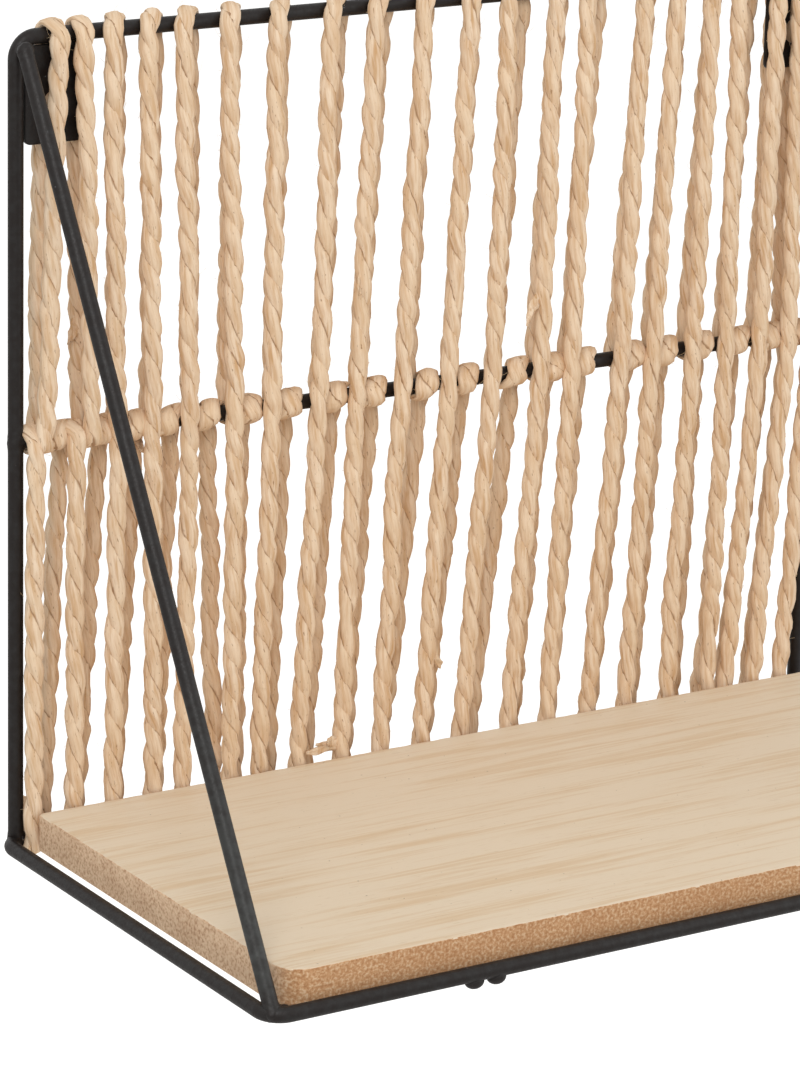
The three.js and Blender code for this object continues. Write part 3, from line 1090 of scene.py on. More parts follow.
@dataclass
class Board:
    """The shelf board: a fibreboard core with a veneer on each face."""

    veneer: Material
    finish: SawnFibreboard
    front_radius: float = 9.0
    back_radius: float = 2.0
    corner_steps: int = 16
    spacing: float = 1.5
    skin_thickness: float = 0.6
    ragged: float = 0.34
    tear_scales: tuple[float, float] = (0.9, 0.23)  # per mm, of the fine and the coarse tears
    tear_level: float = 0.3  # how much more of the edge is torn than whole
    roll: float = 1.5  # how far the upper veneer's edge rolls over
    rim_slope: float = 0.75  # rise of a face's normal, under which the face is torn edge

    def outline(self, low: Vector, high: Vector, outset: float) -> list[Vector]:
        """Draws the board's edge, with points along its sides too.

        Args:
            low: the board's lowest corner, in millimetres.
            high: its highest corner.
            outset: how far the outline is moved outwards.

        Returns:
            The outline's points, no further apart than the spacing asks for.
        """
        radii = (self.front_radius, self.front_radius, self.back_radius, self.back_radius)
        corners = rounded((low.x, low.y), (high.x, high.y), radii, self.corner_steps, outset)
        rough = [Vector((x, y, 0)) for x, y in corners]
        points = []
        for here, after in zip(rough, rough[1:] + rough[:1]):
            parts = max(1, round((after - here).length / self.spacing))
            points.extend(here.lerp(after, part / parts) for part in range(parts))
        return points

    def torn(self, point: Vector, inside: Vector, depth: float) -> Vector:
        """Moves a point of the edge inwards where the edge is torn away.

        Args:
            point: the point.
            inside: the point beside it, further in.
            depth: how far a tear goes, in millimetres.

        Returns:
            The moved point.
        """
        tear = sum(noise.noise(point * scale) for scale in self.tear_scales) + self.tear_level
        return point + (inside - point).normalized() * depth * max(0.0, tear)

    def layer(self, name: str, node: str, profile: list[tuple[float, float, float]],
              material: Material, rim: Material | None = None) -> None:
        """Makes one layer of the board in place of its node.

        Args:
            name: the piece's name.
            node: node that it stands for.
            profile: for each ring from below, its outset, its height above the node's lower
                face, and how far its torn edge stays back, in millimetres.
            material: the layer's material.
            rim: material of its torn edge, if it has another.
        """
        low, high = (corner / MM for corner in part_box(node))
        shape = bmesh.new()
        inner = self.outline(low, high, -1.0)
        rings = []
        for outset, rise, depth in profile:
            ring = [self.torn(point, inside, depth)
                    for point, inside in zip(self.outline(low, high, outset), inner)]
            rings.append([shape.verts.new(Vector((spot.x, spot.y, low.z + rise)) * MM) for spot in ring])
        skin(shape, rings)
        made = from_bmesh(name, shape)
        shade(made, material, sharp_over=50)
        if rim is not None:
            made.data.materials.append(rim)
            for face in made.data.polygons:
                face.material_index = int(abs(face.normal.z) < self.rim_slope)
        dress(made, Slot.CORE if node == "shelf_core" else Slot.VENEER, node)

    def build(self) -> None:
        """Makes the three layers."""
        low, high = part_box("shelf_core")
        thick = (high.z - low.z) / MM
        sheet, torn, roll = self.skin_thickness, self.ragged, self.roll
        core = [(0.0, thick * share, 0.0) for share in (0.0, 0.1, 0.3, 0.5, 0.7, 0.9, 1.0)]
        upper = [(0.04, 0.0, torn), (0.05, 0.2 * sheet, torn), (-0.12 * roll, 0.6 * sheet, torn),
                 (-0.45 * roll, 0.88 * sheet, 0.5 * torn), (-roll, sheet, 0.0)]
        lower = [(-0.15, 0.0, 0.0), (0.03, 0.2 * sheet, 0.0), (0.04, sheet, 0.5 * torn)]
        sawn = self.finish.material(low.y, low.z)
        self.layer("board_core", "shelf_core", core, sawn)
        self.layer("board_upper_veneer", "top_veneer", upper, self.veneer, sawn)
        self.layer("board_lower_veneer", "bottom_veneer", lower, self.veneer, sawn)


@dataclass
class Fixings:
    """Wire eyelets under the rods, and the screws that hold the board down on them."""

    layout: RodLayout
    paint: Material
    zinc: Material
    rods: ShapeTree
    words: tuple[str, ...] = ("front_left", "front_right", "back_left", "back_right")
    wire_radius: float = 1.25
    wire_bend: float = 1.2
    half_pitch: float = 4.0
    eye_steps: int = 16
    wire_low: float = -3.85
    wire_high: float = -2.25
    toe: float = 0.4  # where the wire starts, past the middle of its rod
    weld_size: tuple[float, float, float] = (3.3, 2.6, 2.55)
    crank_start: float = 3.6
    crank_end: float = 7.6
    reach: float = 16.0
    screw_seat: float = -3.8
    screw_sides: int = 32
    shank_radius: float = 1.75
    screw_length: float = 11.0
    tip_length: float = 3.0
    tip_blunt: float = 0.25  # length that is cut off the tip
    head_radius: float = 3.75
    head_height: float = 2.4
    head_profile: tuple[tuple[float, float], ...] = (  # share of its radius, and rise from its top
        (0.55, 0.0), (0.8, 0.22), (0.95, 0.75), (1.0, 1.4))
    recess_width: float = 0.75
    recess_reach: float = 2.0
    recess_depth: float = 1.3
    thread_pitch: float = 1.4
    thread_depth: float = 0.35
    thread_sharpness: float = 2.2
    thread_margin: float = 0.2
    thread_steps: int = 44

    def build(self) -> None:
        """Makes one eyelet and one screw, and sets four of each by one tree."""
        eyelets = self.spread("eyelets", self.eyelet(), self.paint, self.reach)
        dress(eyelets, Slot.FRAME, *[f"{word}_eyelet" for word in self.words])
        screws = self.spread("screws", self.screw(), self.zinc, 0.0)
        dress(screws, Slot.ZINC, *[f"{word}_screw" for word in self.words])

    def eyelet(self) -> Object:
        """Makes a U of wire that lies under a rod at Y 0 and reaches inwards along Y.

        Returns:
            The eyelet, with its two weld lumps.
        """
        leg = [(self.toe, self.wire_low), (self.crank_start, self.wire_low),
               (self.crank_end, self.wire_high), (self.reach, self.wire_high)]
        points = [Vector((self.half_pitch, y, z)) * MM for y, z in leg]
        for step in range(1, self.eye_steps):
            angle = step * math.pi / self.eye_steps
            points.append(Vector((self.half_pitch * math.cos(angle),
                                  self.reach + self.half_pitch * math.sin(angle), self.wire_high)) * MM)
        points.extend(Vector((-self.half_pitch, y, z)) * MM for y, z in reversed(leg))
        wire = self.rods.shape(path_object("wire", points), "eyelet_wire", {
            "Rod radius": self.wire_radius * MM, "Bend radius": self.wire_bend * MM, "Bend steps": 4,
            "Rod sides": 16, "Material": self.paint})
        shape = bmesh.new()
        shape.from_mesh(wire.data)
        bpy.data.objects.remove(wire)
        for sign in (-1, 1):
            spot = Vector((sign * self.half_pitch, self.toe, -self.layout.rod_radius)) * MM
            bmesh.ops.create_icosphere(
                shape, subdivisions=3, radius=MM,
                matrix=Matrix.Translation(spot) @ Matrix.Diagonal((*self.weld_size, 1)))
        return from_bmesh("eyelet_shape", shape)

    def screw(self) -> Object:
        """Makes a pan-head screw, head down, with a thread and a cross recess.

        Returns:
            The screw, with its axis on Z.
        """
        shape = bmesh.new()
        top = self.screw_seat - self.head_height
        rings = [(top + rise, [self.head_radius * share] * self.screw_sides)
                 for share, rise in (*self.head_profile, (1.0, self.head_height))]
        rings.append((self.screw_seat, [self.shank_radius * 0.8] * self.screw_sides))
        threaded = self.screw_length - 2 * self.thread_margin
        for step in range(self.thread_steps + 1):
            height = self.screw_seat + self.thread_margin + threaded * step / self.thread_steps
            rings.append((height, self.thread(height)))
        rows = []
        for height, radii in rings:
            turns = [2 * math.pi * side / self.screw_sides for side in range(self.screw_sides)]
            spots = [Vector((radius * math.cos(turn), radius * math.sin(turn), height))
                     for turn, radius in zip(turns, radii)]
            rows.append([shape.verts.new(spot * MM) for spot in spots])
        skin(shape, rows)
        return self.recessed(from_bmesh("screw_body", shape), top)

    def thread(self, height: float) -> list[float]:
        """Cuts the thread at one height.

        Args:
            height: Z of the ring.

        Returns:
            Radius of the screw on each of its sides.
        """
        left = self.screw_seat + self.screw_length - height
        taper = min(1.0, max(left, self.tip_blunt) / self.tip_length)
        radii = []
        for side in range(self.screw_sides):
            turn = side / self.screw_sides + height / self.thread_pitch
            ridge = max(0.0, 1 - abs((turn % 1) * 2 - 1) * self.thread_sharpness)
            radii.append((self.shank_radius - self.thread_depth + self.thread_depth * ridge) * taper)
        return radii

    def recessed(self, body: Object, top: float) -> Object:
        """Cuts a cross into the screw's head.

        Args:
            body: the screw; it is removed.
            top: Z of its head's face, in millimetres.

        Returns:
            The screw with its cross.
        """
        cutter = bmesh.new()
        for turn in (0.0, math.pi / 2):
            size = Vector((self.recess_reach * 2, self.recess_width, self.recess_depth * 2)) * MM
            spot = Matrix.Translation(Vector((0, 0, top)) * MM) @ Matrix.Rotation(turn, 4, "Z")
            bmesh.ops.create_cube(cutter, size=1.0, matrix=spot @ Matrix.Diagonal((*size, 1)))
        tool = from_bmesh("recess", cutter)
        cut = body.modifiers.new("recess", "BOOLEAN")
        cut.object = tool
        cut.operation = "DIFFERENCE"
        cut.solver = "EXACT"
        cut.use_self = True
        made = settle(body, "screw_shape")
        bpy.data.objects.remove(tool)
        return made

    def spread(self, name: str, one: Object, material: Material,
               back: float) -> Object:
        """Sets four copies of a shape by a tree.

        Args:
            name: name of the finished piece.
            one: the shape; it is removed.
            material: its material.
            back: how far its place lies from the eyelet's eye towards the rod, in millimetres.

        Returns:
            The four copies as one piece.
        """
        shape = ShapeTree(f"{name}_places", {"Shape": Object, "Material": Material})
        shaped = shape.add("GeometryNodeObjectInfo", {"Object": shape.size("Shape")})
        spin = shape.add("GeometryNodeInputNamedAttribute", {"Name": "spin"}, data_type="FLOAT")
        turn = shape.add("FunctionNodeAxisAngleToRotation", {"Axis": (0, 0, 1), "Angle": spin[0]})
        dots = shape.add("GeometryNodeMeshToPoints", {"Mesh": shape.entry.outputs["Geometry"]})
        copies = shape.add("GeometryNodeInstanceOnPoints", {
            "Points": dots[0], "Instance": shaped["Geometry"], "Rotation": turn[0]})
        shape.close(copies[0])
        made = shape.shape(self.places(f"{name}_spots", back), name, {"Shape": one, "Material": material})
        bpy.data.objects.remove(one)
        forget(made, ("spin",))
        shade(made, material, sharp_over=38)
        return made

    def places(self, name: str, back: float) -> Object:
        """Marks a place at each of the part's own eyelets.

        Args:
            name: name of the marks.
            back: how far each lies from the eye towards the rod, in millimetres.

        Returns:
            The four places, each with the angle that turns its shape inwards.
        """
        spots, spins = [], []
        for word in self.words:
            low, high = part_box(f"{word}_eyelet")
            front = word.startswith("front")
            inwards = 1 if front else -1
            eye = (high.y if front else low.y) - inwards * (self.half_pitch + self.wire_radius) * MM
            spots.append(Vector(((low.x + high.x) / 2, eye - inwards * back * MM, -HANG_HEIGHT * MM)))
            spins.append(0.0 if front else math.pi)
        marks = mesh_object(name, spots)
        marks.data.attributes.new("spin", "FLOAT", "POINT").data.foreach_set("value", spins)
        return marks


@dataclass(frozen=True)
class RoutePoint:
    """A point of the rope's route: how far a rod flattens and widens it there, as shares of its
    size, and that rod's height."""

    spot: Vector
    press: float = 0.0
    spread: float = 0.0
    rod_height: float | None = None


@dataclass
class RopeWinding:
    """One paper rope wound over the three back rods: up the front, over the top, down behind
    with a turn round the mid rail, and under the bottom rod."""

    layout: RodLayout
    paper: Material
    fibre: Material
    wind_radius: float = 4.9
    tail: float = 12.0
    turn_steps: int = 14  # in half a turn
    run_step: float = 4.0  # between the points of a straight run
    rod_reach: float = 9.0  # height from a rod, within which a straight run is kept off it
    ply_radius: float = 2.4
    ply_offset: float = 0.78
    lay_length: float = 22.5
    ring_spacing: float = 1.5
    ply_sides: int = 12
    swell: float = 0.13
    bulge_step: float = 13.0
    sway: float = 1.5
    sway_step: float = 33.0
    sway_held: float = 0.15  # share of the sway that is left where a rod holds the rope
    lay_drift: tuple[tuple[float, float], ...] = ((70.0, 0.7), (21.0, 0.22))  # step in mm, laps
    dent_steps: tuple[float, float, float] = (2.0, 2.0, 3.6)
    dent_depth: float = 0.9
    rod_clearance: float = 0.04
    seed_step: float = 31.7
    space_step: float = 50.0  # between the plies' own spaces, for a whole turn
    outer_grip: tuple[float, float] = (0.42, 0.15)  # press and spread on the outer rods
    wrap_grip: tuple[float, float] = (0.52, 0.42)  # and round the mid rail
    eyelet_strand: int = 16  # it passes over a leg of the back right eyelet
    eyelet_bulge: float = 3.2
    eyelet_grip: tuple[float, float] = (0.12, 0.1)
    wrap_lift: float = 0.9
    turned_lift: float = 0.7
    no_rod: float = -1.0  # metres, a rod height that touches nothing
    fibre_density: float = 8000.0  # per square metre
    fibre_radius: float = 0.045
    fibre_lengths: tuple[float, float] = (1.2, 4.2)
    fibre_spin: float = 0.9  # radians either way
    fibre_seed: int = 5
    helpers: tuple[str, ...] = (
        "press", "spread", "rod_height", "rope_centre", "other_centre", "other_radius", "along", "ring")
    bottom_shares: tuple[float, ...] = (
        0.012, 0.06, 0.105, 0.153, 0.188, 0.246, 0.28, 0.327, 0.382, 0.431, 0.482,
        0.533, 0.595, 0.647, 0.699, 0.752, 0.806, 0.865, 0.889, 0.925, 0.965)
    rail_shares: tuple[float, ...] = (
        0.015, 0.061, 0.109, 0.15, 0.193, 0.247, 0.291, 0.348, 0.394, 0.449, 0.508,
        0.564, 0.626, 0.666, 0.731, 0.773, 0.827, 0.872, 0.917, 0.957, 0.988)
    top_shares: tuple[float, ...] = (
        0.041, 0.068, 0.1, 0.14, 0.181, 0.233, 0.289, 0.354, 0.408, 0.467, 0.524,
        0.572, 0.63, 0.672, 0.744, 0.787, 0.834, 0.869, 0.922, 0.95, 0.975)
    top_back_shares: tuple[float, ...] = (
        0.039, 0.0735, 0.1215, 0.165, 0.2055, 0.2545, 0.3145, 0.3825, 0.4355, 0.488, 0.5475,
        0.6065, 0.6555, 0.7055, 0.7715, 0.8135, 0.8575, 0.9055, 0.94, 0.9585, 0.9775)
    # Behind the mid rail a strand comes down to it, shows as a bead in front, and leaves again
    rail_entry_shares: tuple[float, ...] = (
        0.031, 0.081, 0.122, 0.161, 0.21, 0.253, 0.306, 0.365, 0.412, 0.476,
        0.528, 0.584, 0.636, 0.678, 0.741, 0.788, 0.836, 0.886, 0.931, 0.968)
    bead_shares: tuple[float, ...] = (
        0.042, 0.099, 0.134, 0.171, 0.218, 0.27, 0.317, 0.371, 0.42, 0.484,
        0.536, 0.598, 0.649, 0.687, 0.753, 0.796, 0.844, 0.893, 0.938, 0.974)
    rail_exit_shares: tuple[float, ...] = (
        0.061, 0.106, 0.147, 0.19, 0.232, 0.273, 0.326, 0.385, 0.432, 0.496,
        0.548, 0.613, 0.656, 0.698, 0.762, 0.808, 0.856, 0.906, 0.95, 0.983)
    bottom_back_shares: tuple[float, ...] = (
        0.012, 0.039, 0.077, 0.123, 0.172, 0.246, 0.27, 0.309, 0.355, 0.404, 0.452,
        0.505, 0.565, 0.621, 0.67, 0.725, 0.78, 0.839, 0.877, 0.9075, 0.9435)
    # The first strands take a turn of their own round the rail: where they leave it upwards
    turned_shares: tuple[float, ...] = (0.024, 0.078)

    def across(self, share: float) -> float:
        """Place across the frame, in millimetres, of a share from the left upright."""
        return self.layout.half_span * (2 * share - 1)

    def turn(self, height: float, start: float, end: float, across: Callable[[float], float],
             grip: tuple[float, float], lift: float = 0.0, bulge: float = 0.0) -> list[RoutePoint]:
        """Lays the rope round a rod.

        Args:
            height: the rod's height.
            start: first angle, counted from the front over the top.
            end: last angle.
            across: X for each share of the turn.
            grip: how far the rod flattens and widens the rope.
            lift: extra distance from the rod at the end of the turn.
            bulge: extra distance from the rod half way round.

        Returns:
            The points, held by the rod away from both ends.
        """
        sweep = abs(end - start)
        steps = max(6, round(sweep / (math.pi / self.turn_steps)))
        points = []
        for step in range(steps + 1):
            part = step / steps
            angle = start + (end - start) * part
            radius = self.wind_radius + lift * smooth(2 * part - 1) + bulge * math.sin(math.pi * part) ** 2
            spot = Vector((across(part), -radius * math.cos(angle), height + radius * math.sin(angle)))
            held = smooth(min(part, 1 - part) * sweep / (math.pi * 0.3))
            points.append(RoutePoint(spot, held * grip[0], held * grip[1], height))
        return points

    def run(self, here: Vector, there: Vector) -> list[RoutePoint]:
        """Lays the rope straight between two turns.

        Args:
            here: where the run starts.
            there: where it ends.

        Returns:
            The points between its ends.
        """
        rods = (0.0, self.layout.rail_height, self.layout.back_height)
        parts = max(2, round((there - here).length / self.run_step))
        points = []
        for part in range(1, parts):
            spot = here.lerp(there, part / parts)
            near = [height for height in rods if abs(spot.z - height) < self.rod_reach]
            points.append(RoutePoint(spot, rod_height=near[0] if near else None))
        return points

    def strand(self, number: int) -> list[list[RoutePoint]]:
        """Legs of one strand: round the bottom rod, up the front, over the top rod, and its wrap.

        Args:
            number: the strand, counted from the left.

        Returns:
            The legs in order, without the straight runs between them.
        """
        below, bottom, rail, top, behind = (self.across(shares[number]) for shares in (
            self.bottom_back_shares, self.bottom_shares, self.rail_shares,
            self.top_shares, self.top_back_shares))
        over_leg = number == self.eyelet_strand
        legs = [self.turn(0.0, math.pi, 2 * math.pi, lambda part: below + (bottom - below) * part,
                          self.eyelet_grip if over_leg else self.outer_grip,
                          bulge=self.eyelet_bulge if over_leg else 0.0)]
        if number < len(self.turned_shares):
            leaves = self.across(self.turned_shares[number])
            legs.append(self.turn(
                self.layout.rail_height, 0.0, 2 * math.pi,
                lambda part: rail + (leaves - rail) * smooth((part - 0.15) / 0.7),
                self.wrap_grip, lift=self.turned_lift))
        else:
            front = Vector((rail, -self.wind_radius, self.layout.rail_height))
            legs.append([RoutePoint(front, rod_height=self.layout.rail_height)])
        legs.append(self.turn(self.layout.back_height, 0.0, math.pi,
                              lambda part: top + (behind - top) * part, self.outer_grip))
        if number < len(self.bead_shares):
            legs.append(self.wrap(number))
        return legs

    def wrap(self, number: int) -> list[RoutePoint]:
        """Winds one strand round the mid rail: in behind, under, up the front, over, out behind.

        Args:
            number: the strand, counted from the left.

        Returns:
            The points of its turn.
        """
        entry, bead, leave = (self.across(shares[number]) for shares in (
            self.rail_entry_shares, self.bead_shares, self.rail_exit_shares))

        def across(part: float) -> float:
            """Finds X along the turn, which moves sideways in the middle of each half of it.

            Args:
                part: share of the turn.

            Returns:
                The place across the frame, in millimetres.
            """
            if part < 0.5:
                return entry + (bead - entry) * smooth((2 * part - 0.2) / 0.7)
            return bead + (leave - bead) * smooth((2 * part - 1.1) / 0.7)

        return self.turn(self.layout.rail_height, math.pi, 3 * math.pi, across,
                         self.wrap_grip, self.wrap_lift)

    def route(self) -> list[RoutePoint]:
        """Lays the whole rope, from its tail at the lower left to its tail at the upper right.

        Returns:
            The points of its route.
        """
        legs = [leg for number in range(len(self.rail_shares)) for leg in self.strand(number)]
        first, last = legs[0][0].spot, legs[-1][-1].spot
        points = [RoutePoint(first + Vector((0, 0, self.tail)))]
        for leg in [*legs, [RoutePoint(last - Vector((0, 0, self.tail)))]]:
            points.extend(self.run(points[-1].spot, leg[0].spot))
            points.extend(leg)
        return points

    def line(self) -> list[Vector]:
        """Middle of the rope along its route, in millimetres from the origin."""
        return [point.spot - Vector((0, 0, HANG_HEIGHT)) for point in self.route()]

    def path(self, points: list[RoutePoint]) -> Object:
        """Makes the route an object that carries the press and the rods' heights.

        Args:
            points: points of the route.

        Returns:
            The object.
        """
        source = path_object("rope_route", [place(*point.spot) for point in points])
        carried = {
            "press": [point.press for point in points],
            "spread": [point.spread for point in points],
            "rod_height": [self.no_rod if point.rod_height is None
                           else (point.rod_height - HANG_HEIGHT) * MM for point in points],
        }
        for name, values in carried.items():
            source.data.attributes.new(name, "FLOAT", "POINT").data.foreach_set("value", values)
        return source

    def ply_tree(self) -> ShapeTree:
        """Makes the tree that lays one ply round the route, swells it, and presses it on the rods.

        Returns:
            The tree.
        """
        shape = ShapeTree("laid_ply", {
            "Turn": float, "Lay length": float, "Ply radius": float, "Ply offset": float,
            "Ring spacing": float, "Ply sides": int, "Swell": float, "Sway": float,
            "Rod radius": float, "Seed": float, "Other seed": float, "Material": Material})
        add, size = shape.add, shape.size
        marked = self.wandering(shape)
        offset = add("ShaderNodeVectorMath", {
            0: self.lay_direction(shape), 3: size("Ply offset")}, operation="SCALE")[0]
        spot = add("GeometryNodeInputPosition")[0]
        beside = add("ShaderNodeVectorMath", {0: spot, 1: offset}, operation="SUBTRACT")[0]
        carried = (("rope_centre", spot, "FLOAT_VECTOR"), ("other_centre", beside, "FLOAT_VECTOR"),
                   ("other_radius", self.thickness(shape, "Other seed"), "FLOAT"))
        for name, value, kind in carried:
            marked = add("GeometryNodeStoreNamedAttribute", {
                "Geometry": marked, "Name": name, "Value": value}, data_type=kind, domain="POINT")[0]
        laid = add("GeometryNodeSetPosition", {"Geometry": marked, "Offset": offset})
        section = add("GeometryNodeCurvePrimitiveCircle", {
            "Resolution": size("Ply sides"), "Radius": 1.0}, mode="RADIUS")
        ring = add("GeometryNodeStoreNamedAttribute", {
            "Geometry": section[0], "Name": "ring", "Value": add("GeometryNodeInputPosition")[0]},
            data_type="FLOAT_VECTOR", domain="POINT")
        tube = add("GeometryNodeCurveToMesh", {
            "Curve": laid[0], "Profile Curve": ring[0], "Scale": self.thickness(shape, "Seed"),
            "Fill Caps": True})
        shape.close(self.dented(shape, self.pressed(shape, self.measured(shape, tube[0]))))
        return shape

    def wandering(self, shape: ShapeTree) -> Socket:
        """Resamples the route, and lets it wander a little where no rod holds it.

        Args:
            shape: the tree.

        Returns:
            The curve, with its length along itself stored.
        """
        add, size = shape.add, shape.size
        line = add("GeometryNodeMeshToCurve", {"Mesh": shape.entry.outputs["Geometry"]})
        even = add("GeometryNodeResampleCurve", {
            "Curve": line[0], "Length": size("Ring spacing")}, mode="LENGTH")
        marked = add("GeometryNodeStoreNamedAttribute", {
            "Geometry": even[0], "Name": "along", "Value": add("GeometryNodeSplineParameter")["Length"]},
            data_type="FLOAT", domain="POINT")
        along = add("GeometryNodeInputNamedAttribute", {"Name": "along"}, data_type="FLOAT")[0]
        slow = add("ShaderNodeTexNoise", {
            "W": along, "Scale": 1 / (self.sway_step * MM), "Detail": 1.0}, noise_dimensions="1D")
        centred = add("ShaderNodeVectorMath", {0: slow["Color"], 1: (0.5, 0.5, 0.5)}, operation="SUBTRACT")
        held = add("GeometryNodeInputNamedAttribute", {"Name": "press"}, data_type="FLOAT")[0]
        loose = add("ShaderNodeMapRange", {
            "Value": held, "From Max": self.wrap_grip[0], "To Min": 1.0, "To Max": self.sway_held})[0]
        reach = add("ShaderNodeMath", {0: size("Sway"), 1: loose}, operation="MULTIPLY")[0]
        wander = add("ShaderNodeVectorMath", {0: centred[0], 3: reach}, operation="SCALE")[0]
        return add("GeometryNodeSetPosition", {"Geometry": marked[0], "Offset": wander})[0]

    def lay_direction(self, shape: ShapeTree) -> Socket:
        """Direction from the rope's middle to the ply, which turns along the rope unevenly.

        Args:
            shape: the tree.

        Returns:
            The direction, of length 1.
        """
        add, size = shape.add, shape.size
        along = add("GeometryNodeInputNamedAttribute", {"Name": "along"}, data_type="FLOAT")[0]
        laps = add("ShaderNodeMath", {0: along, 1: size("Lay length")}, operation="DIVIDE")[0]
        for step, amount in self.lay_drift:
            drift = add("ShaderNodeTexNoise", {
                "W": along, "Scale": 1 / (step * MM), "Detail": 1.0}, noise_dimensions="1D")["Fac"]
            laps = add("ShaderNodeMath", {0: drift, 1: amount, 2: laps}, operation="MULTIPLY_ADD")[0]
        phased = add("ShaderNodeMath", {0: laps, 1: size("Turn")}, operation="ADD")[0]
        angle = add("ShaderNodeMath", {0: phased, 1: -2 * math.pi}, operation="MULTIPLY")[0]
        across = add("GeometryNodeInputNormal")["Normal"]
        third = add("ShaderNodeVectorMath", {
            0: add("GeometryNodeInputTangent")[0], 1: across}, operation="CROSS_PRODUCT")[0]
        cosine = add("ShaderNodeMath", {0: angle}, operation="COSINE")[0]
        sine = add("ShaderNodeMath", {0: angle}, operation="SINE")[0]
        first = add("ShaderNodeVectorMath", {0: across, 3: cosine}, operation="SCALE")[0]
        second = add("ShaderNodeVectorMath", {0: third, 3: sine}, operation="SCALE")[0]
        return add("ShaderNodeVectorMath", {0: first, 1: second}, operation="ADD")[0]

    def thickness(self, shape: ShapeTree, seed: str) -> Socket:
        """Radius of a ply along the route, with the bulges of its paper.

        Args:
            shape: the tree.
            seed: input that holds the ply's seed.

        Returns:
            The radius.
        """
        add, size = shape.add, shape.size
        along = add("GeometryNodeInputNamedAttribute", {"Name": "along"}, data_type="FLOAT")[0]
        seeded = add("ShaderNodeMath", {0: along, 1: size(seed)}, operation="ADD")[0]
        bulge = add("ShaderNodeTexNoise", {
            "W": seeded, "Scale": 1 / (self.bulge_step * MM), "Detail": 2.5}, noise_dimensions="1D")["Fac"]
        swung = add("ShaderNodeMapRange", {
            "Value": bulge, "From Min": 0.25, "From Max": 0.75, "To Min": -1.0, "To Max": 1.0},
            clamp=False)[0]
        swollen = add("ShaderNodeMath", {
            0: swung, 1: size("Swell"), 2: 1.0}, operation="MULTIPLY_ADD")[0]
        return add("ShaderNodeMath", {0: swollen, 1: size("Ply radius")}, operation="MULTIPLY")[0]

    def measured(self, shape: ShapeTree, tube: Socket) -> Socket:
        """Stores the ply's own space, and its distance from the other ply, for the paper's material.

        Args:
            shape: the tree.
            tube: the ply's mesh.

        Returns:
            The mesh with both stored.
        """
        add, size = shape.add, shape.size
        spot = add("GeometryNodeInputPosition")[0]
        beside = add("GeometryNodeInputNamedAttribute", {"Name": "other_centre"}, data_type="FLOAT_VECTOR")[0]
        radius = add("GeometryNodeInputNamedAttribute", {"Name": "other_radius"}, data_type="FLOAT")[0]
        apart = add("ShaderNodeVectorMath", {0: spot, 1: beside}, operation="DISTANCE")["Value"]
        gap = add("ShaderNodeMath", {0: apart, 1: radius}, operation="SUBTRACT")[0]
        ring = add("GeometryNodeInputNamedAttribute", {"Name": "ring"}, data_type="FLOAT_VECTOR")[0]
        along = add("GeometryNodeInputNamedAttribute", {"Name": "along"}, data_type="FLOAT")[0]
        section = add("ShaderNodeSeparateXYZ", {
            0: add("ShaderNodeVectorMath", {0: ring, 3: size("Ply radius")}, operation="SCALE")[0]})
        own = add("ShaderNodeMath", {
            0: size("Turn"), 1: self.space_step * MM, 2: section["X"]}, operation="MULTIPLY_ADD")[0]
        space = add("ShaderNodeCombineXYZ", {"X": own, "Y": section["Y"], "Z": along})[0]
        gapped = add("GeometryNodeStoreNamedAttribute", {
            "Geometry": tube, "Name": "ply_gap", "Value": gap}, data_type="FLOAT", domain="POINT")
        return add("GeometryNodeStoreNamedAttribute", {
            "Geometry": gapped[0], "Name": "ply_space", "Value": space},
            data_type="FLOAT_VECTOR", domain="POINT")[0]

    def pressed(self, shape: ShapeTree, tube: Socket) -> Socket:
        """Presses a ply against the rod that it crosses, widens it there, and keeps it off the rod.

        Args:
            shape: the tree.
            tube: the ply's mesh.

        Returns:
            The mesh after the press.
        """
        add, size = shape.add, shape.size
        press, spread, height = (
            add("GeometryNodeInputNamedAttribute", {"Name": name}, data_type="FLOAT")[0]
            for name in ("press", "spread", "rod_height"))
        centre = add("GeometryNodeInputNamedAttribute", {"Name": "rope_centre"}, data_type="FLOAT_VECTOR")[0]
        here = add("ShaderNodeSeparateXYZ", {0: add("GeometryNodeInputPosition")[0]})
        middle = add("ShaderNodeSeparateXYZ", {0: centre})
        rise = add("ShaderNodeMath", {0: here["Z"], 1: height}, operation="SUBTRACT")[0]
        radial = add("ShaderNodeCombineXYZ", {"Y": here["Y"], "Z": rise})[0]
        away = add("ShaderNodeVectorMath", {0: radial}, operation="LENGTH")["Value"]
        above = add("ShaderNodeMath", {0: away, 1: size("Rod radius")}, operation="SUBTRACT")[0]
        left = add("ShaderNodeMath", {0: 1.0, 1: press}, operation="SUBTRACT")[0]
        lowered = add("ShaderNodeMath", {0: above, 1: left}, operation="MULTIPLY")[0]
        clear = add("ShaderNodeMath", {0: lowered, 1: self.rod_clearance * MM}, operation="MAXIMUM")[0]
        wanted = add("ShaderNodeMath", {0: clear, 1: size("Rod radius")}, operation="ADD")[0]
        factor = add("ShaderNodeMath", {0: wanted, 1: away}, operation="DIVIDE")[0]
        settled = add("ShaderNodeSeparateXYZ", {
            0: add("ShaderNodeVectorMath", {0: radial, 3: factor}, operation="SCALE")[0]})
        aside = add("ShaderNodeMath", {0: here["X"], 1: middle["X"]}, operation="SUBTRACT")[0]
        widen = add("ShaderNodeMath", {0: spread, 1: 1.0}, operation="ADD")[0]
        wide = add("ShaderNodeMath", {0: aside, 1: widen, 2: middle["X"]}, operation="MULTIPLY_ADD")[0]
        high = add("ShaderNodeMath", {0: settled["Z"], 1: height}, operation="ADD")[0]
        final = add("ShaderNodeCombineXYZ", {"X": wide, "Y": settled["Y"], "Z": high})[0]
